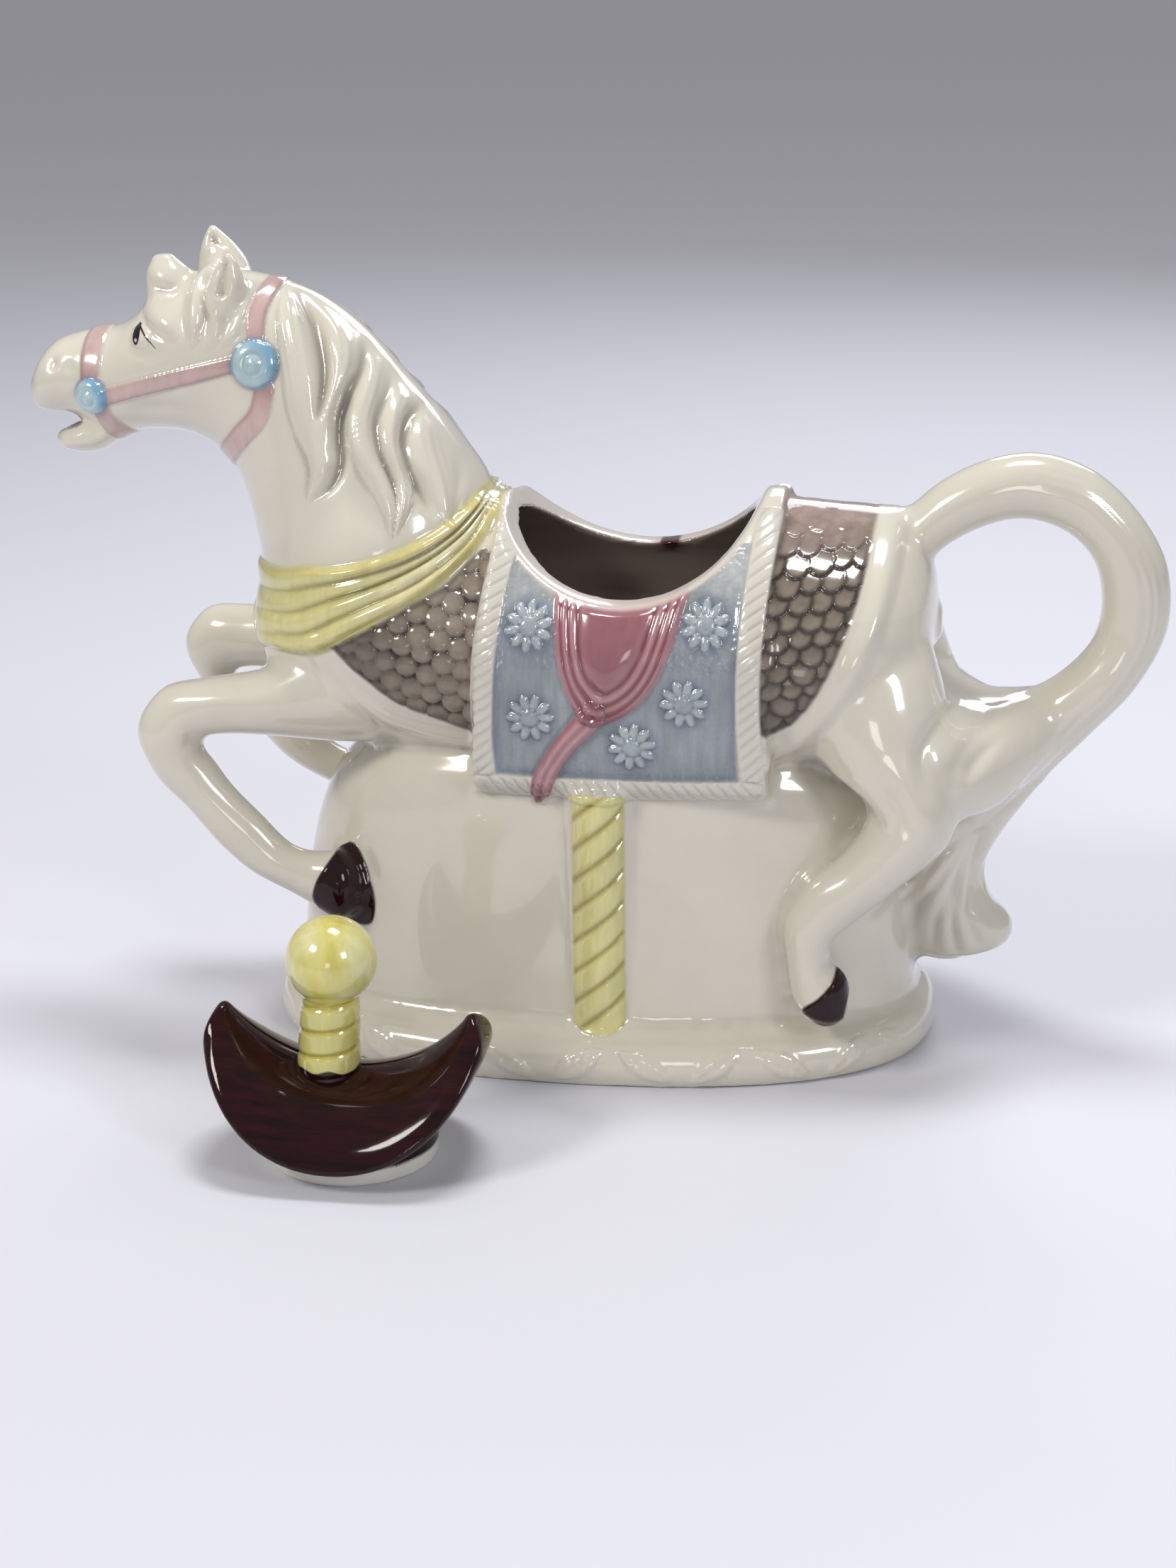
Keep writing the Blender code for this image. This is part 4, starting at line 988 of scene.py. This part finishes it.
def hollowness(form):
    """How hollow the finished surface is at each point, from 0 on flats and ridges to 1 in grooves; the
    glazes darken the colour there as painted shade.
    """
    a, b = read(form.mesh.edges, "vertices", 2, int).T
    count = np.bincount(a, minlength=len(form.x)) + np.bincount(b, minlength=len(form.x))
    count = np.maximum(count, 1)

    def spread(values):
        total = np.bincount(a, values[b], len(form.x)) + np.bincount(b, values[a], len(form.x))
        return total / count

    points = points_of(form.mesh)
    normals = normals_of(form.mesh)
    mean = points.copy()
    for _ in range(5):
        mean = np.stack([spread(mean[:, k]) for k in range(3)], 1)
    hollow = np.einsum("ij,ij->i", mean - points, normals)
    for _ in range(2):
        hollow = spread(hollow)
    return hollow


# ---------------------------------------------------------------- glazes
def glaze(name, rough, brush, streak, drift, grain=0.0, shine=0.5):
    """Glossy fired glaze over brushed underglaze colour, held in the tint and hollow attributes."""
    material = bpy.data.materials.new(name)
    material.use_nodes = True
    tree = material.node_tree
    shader = tree.nodes["Principled BSDF"]
    place = node(tree, "ShaderNodeTexCoord").outputs["Object"]
    tint = node(tree, "ShaderNodeAttribute", dict(attribute_name="tint")).outputs["Color"]
    hollow = node(tree, "ShaderNodeAttribute", dict(attribute_name="hollow")).outputs["Fac"]
    # brush strokes: noise drawn out along one direction
    stretched = node(tree, "ShaderNodeMapping", inputs={"Vector": place, "Scale": streak}).outputs["Vector"]
    brushed = node(tree, "ShaderNodeTexNoise", inputs={
        "Vector": stretched, "Scale": 1.0, "Detail": 4.0, "Roughness": 0.6}).outputs["Fac"]
    cloud = node(tree, "ShaderNodeTexNoise", inputs={
        "Vector": place, "Scale": 45.0, "Detail": 3.0, "Roughness": 0.5}).outputs["Fac"]
    shade = node(tree, "ShaderNodeMapRange", inputs={
        "Value": brushed, "From Min": 0.3, "From Max": 0.7, "To Min": 1 - brush, "To Max": 1 + 0.6 * brush})
    wander = node(tree, "ShaderNodeMapRange", inputs={
        "Value": cloud, "From Min": 0.3, "From Max": 0.7, "To Min": 1 - drift, "To Max": 1 + 0.5 * drift})
    strength = node(tree, "ShaderNodeMath", dict(operation="MULTIPLY"), {
        0: shade.outputs["Result"], 1: wander.outputs["Result"]}).outputs["Value"]
    # glaze gathers in hollows and looks a little deeper there
    # painted shade: the colour darkens in hollows, where shade falls, and the glaze pools a little there
    # too
    hollow_shade = node(tree, "ShaderNodeMapRange", inputs={
        "Value": hollow, "From Min": 0.02, "From Max": 0.30, "To Min": 1.0, "To Max": 0.62})
    strength = node(tree, "ShaderNodeMath", dict(operation="MULTIPLY"), {
        0: strength, 1: hollow_shade.outputs["Result"]}).outputs["Value"]
    colour = node(tree, "ShaderNodeVectorMath", dict(operation="SCALE"), {0: tint, "Scale": strength})
    tree.links.new(colour.outputs["Vector"], shader.inputs["Base Color"])
    # the fired surface is level but not flat: slow ripples about 6 mm apart
    ripple = node(tree, "ShaderNodeTexNoise", inputs={
        "Vector": place, "Scale": 160.0, "Detail": 1.0, "Roughness": 0.4}).outputs["Fac"]
    bump = node(tree, "ShaderNodeBump", inputs={"Strength": 0.05, "Distance": 0.001, "Height": ripple})
    if grain:
        # stippled clay showing softly through the glaze, dots about 1.2 mm apart
        dots = node(tree, "ShaderNodeTexVoronoi", dict(feature="SMOOTH_F1"), {
            "Vector": place, "Scale": 830.0})
        bump = node(tree, "ShaderNodeBump", inputs={
            "Strength": grain, "Distance": 0.0004, "Height": dots.outputs["Distance"],
            "Normal": bump.outputs["Normal"]})
    tree.links.new(bump.outputs["Normal"], shader.inputs["Normal"])
    for name, value in {"Roughness": rough, "IOR": 1.52, "Specular IOR Level": shine,
                        "Coat Weight": 2 * shine, "Coat Roughness": 0.03, "Coat IOR": 1.5}.items():
        shader.inputs[name].default_value = value
    return material


# clear glossy glaze on cream earthenware: wet-looking, faintly uneven
CREAM = glaze("cream_earthenware_clear_glaze", 0.16, 0.02, (60, 60, 60), 0.035)
# brushed underglaze colour under the clear glaze: streaky where the brush ran thin
BRUSHED = glaze("brushed_underglaze_clear_glaze", 0.18, 0.10, (420, 420, 90), 0.12)
# dense dark underglaze: umber stain in the scales, with painted shade under their edges
DENSE = glaze("dense_underglaze_clear_glaze", 0.14, 0.22, (260, 260, 260), 0.15, shine=0.24)
# underglaze blue washed over stippled clay: cloudy, with the stipple showing through
STIPPLED = glaze("washed_blue_on_stipple", 0.20, 0.18, (420, 420, 90), 0.26, grain=0.5)
# near-black hooves: the same dark glaze as the saddle, but even
HOOVES = glaze("dark_hoof_glaze", 0.09, 0.15, (200, 200, 200), 0.1, shine=0.16)
FINISHES = [CREAM, BRUSHED, DENSE, STIPPLED, HOOVES]


def store(mesh, name, values, kind):
    if name in mesh.attributes:
        mesh.attributes.remove(mesh.attributes[name])
    layer = mesh.attributes.new(name, kind, "POINT")
    if kind == "FLOAT_COLOR":
        full = np.ones((len(values), 4))
        full[:, :3] = values
        layer.data.foreach_set("color", full.ravel())
    elif kind == "FLOAT_VECTOR":
        layer.data.foreach_set("vector", np.ascontiguousarray(values).ravel())
    else:
        layer.data.foreach_set("value", values)


def face_values(mesh, values):
    """A value of the points, given to each face from its first corner."""
    return values[read(mesh.loops, "vertex_index", 1, int)[read(mesh.polygons, "loop_start", 1, int)]]


def dress(mesh, glazes, which):
    """Gives the faces their glazes and smooth shading."""
    mesh.materials.clear()
    for material in glazes:
        mesh.materials.append(material)
    mesh.polygons.foreach_set("material_index", which)
    mesh.shade_smooth()


def declare(piece, name, body, stands_for):
    """Names a finished piece, and says what it moves with and stands for."""
    piece.name = piece.data.name = name
    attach(piece, body)
    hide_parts(stands_for)


def finish_form(thing, form):
    """Moves the points out by the relief, and stores tint and hollow."""
    mesh = thing.data
    place_points(mesh, form.points + form.normals * form.relief[:, None])
    store(mesh, "tint", form.tint, "FLOAT_COLOR")
    store(mesh, "hollow", np.clip(hollowness(form), -1, 1), "FLOAT")


def divide(thing, parcels, names):
    """Cuts one skin into named pieces along their borders, keeping its shading across them."""
    mesh = thing.data
    store(mesh, "whole_normal", normals_of(mesh), "FLOAT_VECTOR")
    layer = mesh.attributes.new("parcel", "INT", "FACE")
    layer.data.foreach_set("value", parcels)
    mesh.materials.clear()
    for name in names:
        mesh.materials.append(bpy.data.materials.new("parcel_" + name))
    mesh.polygons.foreach_set("material_index", parcels)
    for other in bpy.context.scene.objects:
        other.select_set(False)
    thing.select_set(True)
    bpy.context.view_layer.objects.active = thing
    bpy.ops.object.mode_set(mode="EDIT")
    bpy.ops.mesh.separate(type="MATERIAL")
    bpy.ops.object.mode_set(mode="OBJECT")
    pieces = {}
    for piece in list(bpy.context.selected_objects):
        mesh = piece.data
        name = names[mesh.attributes["parcel"].data[0].value]
        pieces[name] = piece
        dress(mesh, FINISHES, read(mesh.attributes["finish"].data, "value", 1, int))
        normals = read(mesh.attributes["whole_normal"].data, "vector", 3)
        if name == "pot_lining":
            edge = np.zeros(len(mesh.vertices), bool)
            bm = bmesh.new()
            bm.from_mesh(mesh)
            edge[[vertex.index for vertex in bm.verts if vertex.is_boundary]] = True
            bm.free()
            group = piece.vertex_groups.new(name="middle")
            group.add([int(i) for i in np.flatnonzero(~edge)], 1.0, "REPLACE")
            thin = piece.modifiers.new("thin", "DECIMATE")
            thin.ratio, thin.vertex_group = 0.16, group.name
            pieces[name] = piece = apply_modifiers(piece)
            mesh = piece.data
            mesh.shade_smooth()
        else:
            mesh.normals_split_custom_set_from_vertices(normals)
        for used in ("whole_normal", "parcel", "finish"):
            mesh.attributes.remove(mesh.attributes[used])
        mesh.update()
    for name in names:
        bpy.data.materials.remove(bpy.data.materials["parcel_" + name])
    return pieces


# ---------------------------------------------------------------- the pot
def detailed(form):
    """Points of the parts that carry fine modelling or crisp paint."""
    x, z, out = form.x, form.z, form.out
    outer = form.y * form.normals[:, 1] > 0.05 * out
    cloth_ = (x > -28) & (x < 50) & (z > 75) & (z < 156) & (out > 20) & outer
    breast = (x > -101) & (x <= -28) & (z > 88) & (z < 153) & (outer | (x < -82)) & (out > 5)
    rump = (x >= 50) & (x < 76) & (z > 92) & (z < 152) & outer & (out > 16)
    head = (x > -141) & (x < -76) & (z > 156) & outer
    twist = (np.abs(x - POLE_X) < 9.5) & (z > 6) & (z < 79) & (out > 39.4)
    hoof = (x > -77) & (x < -56) & (z > 34) & (z < 66) & (out > 22) | (
        (x > 55) & (x < 74) & (z > 14) & (z < 38) & (out > 33))
    return cloth_ | breast | rump | head | twist | hoof


def eyed(form):
    return (np.hypot(form.x + 118.5, form.z - 190.6) < 6.5) & (form.facing > 0.1)


def build_pot():
    whole = fuse(horse_form(FILLET), 1.0)
    points, normals = points_of(whole.data), normals_of(whole.data)
    place_points(whole.data, points - normals * FILLET)
    hollow = fuse(inside_form(), 1.2)
    dip_x, dip_z = DIP_CENTRE
    dip = gather("dip", [round_bar(DIP_RADIUS, (dip_x, -70, dip_z), (dip_x, 70, dip_z), 160, "Y")])
    wall = points_of(hollow.data)
    tree = KDTree(len(wall))
    for i, point in enumerate(wall):
        tree.insert(point, i)
    tree.balance()
    whole = fuse(whole, 0.9)
    whole = cut(cut(whole, hollow), dip)
    whole = soften(fuse(whole, FINE), 6)
    lip = Side(whole.data, IVORY)
    whole = soften(whole, 24, where=(np.abs(from_dip(lip)) < 2.2) & (lip.z <= DIP_TOP))
    thigh = Side(whole.data, IVORY)
    outer = thigh.y * thigh.normals[:, 1] > -0.1 * thigh.out
    whole = soften(whole, 90, where=outer & (thigh.x > 56) & (thigh.x < 116) & (thigh.out > 7)
                   & (thigh.z > 84 - 1.5 * np.maximum(thigh.x - 84, 0)) & (thigh.z < 124))
    whole = refine(whole, (detailed, eyed))
    form = Side(whole.data, IVORY)
    inner = (form.x > -154) & (form.x < 88) & (form.out < 40) & (form.z > 3) & (form.z < 200)
    for i in np.flatnonzero(inner):
        inner[i] = tree.find(form.points[i])[2] < ON_THE_WALL
    mane(form)
    strokes(form, MUSCLE, (form.facing > 0.1) & ~inner)
    strokes(form, TAIL_HAIR, (form.x > 78) & (form.facing > 0.1))
    # hairs that follow the tail loop, nearer its outer edge
    outline = np.array(HANDLE[4:12])
    for share in (0.625, 0.75, 0.86):
        hair = np.full((len(outline), 4), 0.75)
        hair[:, :2] = outline[:, :2] * (1 - share) + outline[:, 2:] * share
        hair[:, 3] = (-0.05, -0.2, -0.3, -0.35, -0.35, -0.35, -0.25, -0.1)
        strokes(form, [hair], (form.x > 105) & (form.facing > 0.1))
    leafy_foot(form)
    sash(form)
    scales(form, FRONT_SCALES, 4.9, -0.35, FRONT_BAND, False)
    scales(form, REAR_SCALES, 4.1, 0.10, REAR_BAND, True)
    cloth(form)
    twisted_pole(form)
    face(form)
    bridle(form)
    hooves(form)
    rim(form)
    # inside the pot: painted shade, a brown-grey standing for the shadow in the hollow
    form.relief[inner] = 0
    form.tint[inner] = linear(INSIDE_SHADE)
    form.finish[inner] = PLAIN
    wine_run(form)
    finish_form(whole, form)
    points = points_of(whole.data)
    points[:, 2] = np.maximum(points[:, 2], 0)
    place_points(whole.data, points)
    whole = soften(whole, 2, 0.4)
    points = points_of(whole.data)
    layer = whole.data.attributes.new("finish", "INT", "FACE")
    layer.data.foreach_set("value", face_values(whole.data, form.finish))
    x, y, z = points.T
    (x1, z1), (x2, z2) = NECK_SEAM
    neck = ((x - x1) * -(z2 - z1) + (z - z1) * (x2 - x1) > 0) & (x < x2)
    leg = (x < -74) & (z < 112) & (z > 34) & (np.hypot(x + 74, z - 100) > 3)
    front = leg & ((x < -86) | (np.abs(y) > 26) & (z < 84))
    front |= (x < -59) & (np.abs(y) > 31.5) & (z < 64) & (z > 34)
    near, head = y < 0, neck & (z > 156) & (x < -74)
    saddle = (x > -28.5) & (x < 50.5) & (z >= CLOTH_HEM)
    # a later parcel takes its points from the ones before it
    parcels = {
        "breast": x <= 12, "quarters": x > 12,
        "near_mound": (z < CLOTH_HEM) & near, "off_mound": (z < CLOTH_HEM) & ~near,
        "foot_and_pole": z < 14.5, "near_saddle_cloth": saddle & near, "off_saddle_cloth": saddle & ~near,
        "neck_and_mane": neck, "near_head": head & near, "off_head": head & ~near,
        "near_foreleg": front & near, "off_foreleg": front & ~near, "tail_loop": (x > 92) & (z > 72),
        "pot_lining": inner}
    parcel = np.zeros(len(x), int)
    for number, where in enumerate(parcels.values()):
        parcel[where] = number
    return divide(whole, face_values(whole.data, parcel), list(parcels))


pot = build_pot()
node_of = {"neck_and_mane": "neck_head", "near_head": "neck_head", "off_head": "neck_head",
           "near_foreleg": "foreleg_near", "off_foreleg": "foreleg_off",
           "tail_loop": "tail_handle"}
for name, piece in pot.items():
    declare(piece, name, "pot", node_of.get(name, "pot_body"))


# ---------------------------------------------------------------- the lid
LID = (-50, -96)
COLLAR = (21.8, 20.7)
SEAT_TOP, HORN_TOP = 23.5, 39
# Rounding of a horn's end: how far each section's corners lie from the last full one, and its half width
HORN_TIP = [(0.3, 3.0, 0.8, 0.2, 6.6), (1.2, 5.4, 1.6, 0, 4.2), (1.8, 6.6, 2.3, -0.6, 1.5)]


def lid_form():
    """The saddle: a crescent between two arcs, on a collar that is hollow below."""
    outer, bottom, top = 37, 4, SEAT_TOP
    horn, spread = HORN_TOP - SEAT_TOP, 0.83 * outer
    inner = (spread ** 2 + horn ** 2) / (2 * horn)
    rows = []
    for share in np.linspace(-1, 1, 25):
        out_turn, in_turn = share * math.radians(74), share * math.asin(spread / inner)
        width = 27 * (1 - 0.70 * abs(share) ** 2.6)
        rows.append((outer * math.sin(out_turn), bottom + outer * (1 - math.cos(out_turn)),
                     inner * math.sin(in_turn), top + inner * (1 - math.cos(in_turn)), 0, width))
    ends = []
    for row, way in ((rows[0], -1), (rows[-1], 1)):
        ends.append([(row[0] - way * low_x, row[1] + low_z, row[2] + way * high_x, row[3] + high_z, 0, half)
                     for low_x, low_z, high_x, high_z, half in HORN_TIP])
    rows = ends[0][::-1] + rows + ends[1]
    ring = [(-COLLAR[0], level, COLLAR[0], level, 0, COLLAR[1]) for level in (0, 1, 2, 6, 13)]
    saddle = fuse(gather("saddle", [loft(rows, 120, 160, waist=0.12, up=1.5, low=2.2),
                                    loft(ring, 120, 24)]), 0.7)
    long, wide = COLLAR[0] - 4, COLLAR[1] - 4
    cavity = [(-long, level, long, level, 0, wide) for level in (-4, 2, 8, 13, 14.5)]
    saddle = cut(saddle, gather("cavity", [loft(cavity, 100, 24)]))
    return soften(fuse(saddle, 0.5), 8)


def build_lid():
    saddle = lid_form()
    form = Side(saddle.data, "#24070c")
    up = form.normals[:, 2]
    # painted light: the seat is lighter brown where it faces up, towards the light from above
    seat_light = np.exp(-((form.x / 20) ** 2 + ((form.y + 9) / 8) ** 2)) * step(up, 0.3, 0.8)
    form.paint(0.25 * seat_light, "#301710")
    form.finish[:] = DEEP
    across = np.hypot(form.x / COLLAR[0], form.y / COLLAR[1])
    skirt = step(1.06 - across, 0, 0.02) * step(4.6 - form.z, 0, 0.8)
    white = np.maximum(skirt, step(0.95 - across, 0, 0.03) * (form.z < 15.4))
    form.paint(white, "#dad8cf", finish=PLAIN)
    finish_form(saddle, form)
    points = points_of(saddle.data)
    points[:, 2] = np.maximum(points[:, 2], 0)
    place_points(saddle.data, points + (*LID, 0))
    dress(saddle.data, (CREAM, BRUSHED, SADDLE_BROWN), face_values(saddle.data, form.finish))
    declare(saddle, "saddle_lid", "lid", "lid_saddle")

    ball, post, post_rise = 11.4, 7.7, 19.5
    reach = math.sqrt(ball ** 2 - (post * 0.97) ** 2)
    levels = [(-2.5, post), (0, post * 1.03), (6, post * 1.01), (12, post * 0.99), (16, post * 0.975),
              (post_rise - 1, post * 0.965)]
    start = math.acos(reach / ball)
    for k in range(1, 15):
        turn = start + (math.pi - start) * k / 14
        levels.append((post_rise + reach - ball * math.cos(turn), max(ball * math.sin(turn), 0.05)))
    rows = [(-radius, level, radius, level, 0, radius) for level, radius in levels]
    knob = gather("knob", [loft(rows, 120, 220)])
    form = Side(knob.data, "#cfc97c")
    turn = np.arctan2(form.x, -form.y)
    on_post = step(post_rise + 1 - form.z, 0, 1.5) * step(form.z, -2, 0.5)
    valley = hump(np.abs(np.sin(math.pi * ((form.z - 1.05 * turn) / 6.4 + 0.2))), 0.34)
    neck = hump(form.z - post_rise, 1.6)
    form.relief -= 0.55 * valley * on_post + 0.35 * neck
    form.paint(0.9 * valley * on_post, "#b9a83a")
    form.paint(0.55 * neck, "#bcae45")
    patch = np.sin(form.x * 0.42 + 1.0) + np.sin(form.z * 0.36 + 0.6 * form.x) + np.sin(form.y * 0.5 + 2.0)
    patch /= 3
    form.paint(0.6 * step(patch, 0.05, 0.6) * (form.z > post_rise), "#c0b232")
    form.paint(0.5 * step(-patch, 0.1, 0.7) * (form.z > post_rise + 2), "#d9d6ae")
    ragged = 0.9 + 0.5 * np.sin(3 * turn + 0.5) + 0.35 * np.sin(7 * turn) - 0.5 * np.sin(turn)
    form.paint(step(ragged - form.z, -0.15, 0.15), "#22090d", finish=DEEP)
    form.finish[form.finish != DEEP] = WASHED
    finish_form(knob, form)
    mesh = knob.data
    mesh.transform(Matrix.Translation(Vector((LID[0] - 5.2, LID[1], SEAT_TOP)) * MM)
                   @ Matrix.Rotation(math.radians(3.5), 4, "Y"))
    dress(mesh, FINISHES, face_values(mesh, form.finish))
    declare(knob, "post_and_ball", "lid", "lid_knob")


# thick manganese-brown glaze, brushed on: nearly black where deep, red-brown streaks where thin
SADDLE_BROWN = glaze("manganese_brown_glaze", 0.08, 0.65, (25, 420, 420), 0.25, shine=0.14)
build_lid()
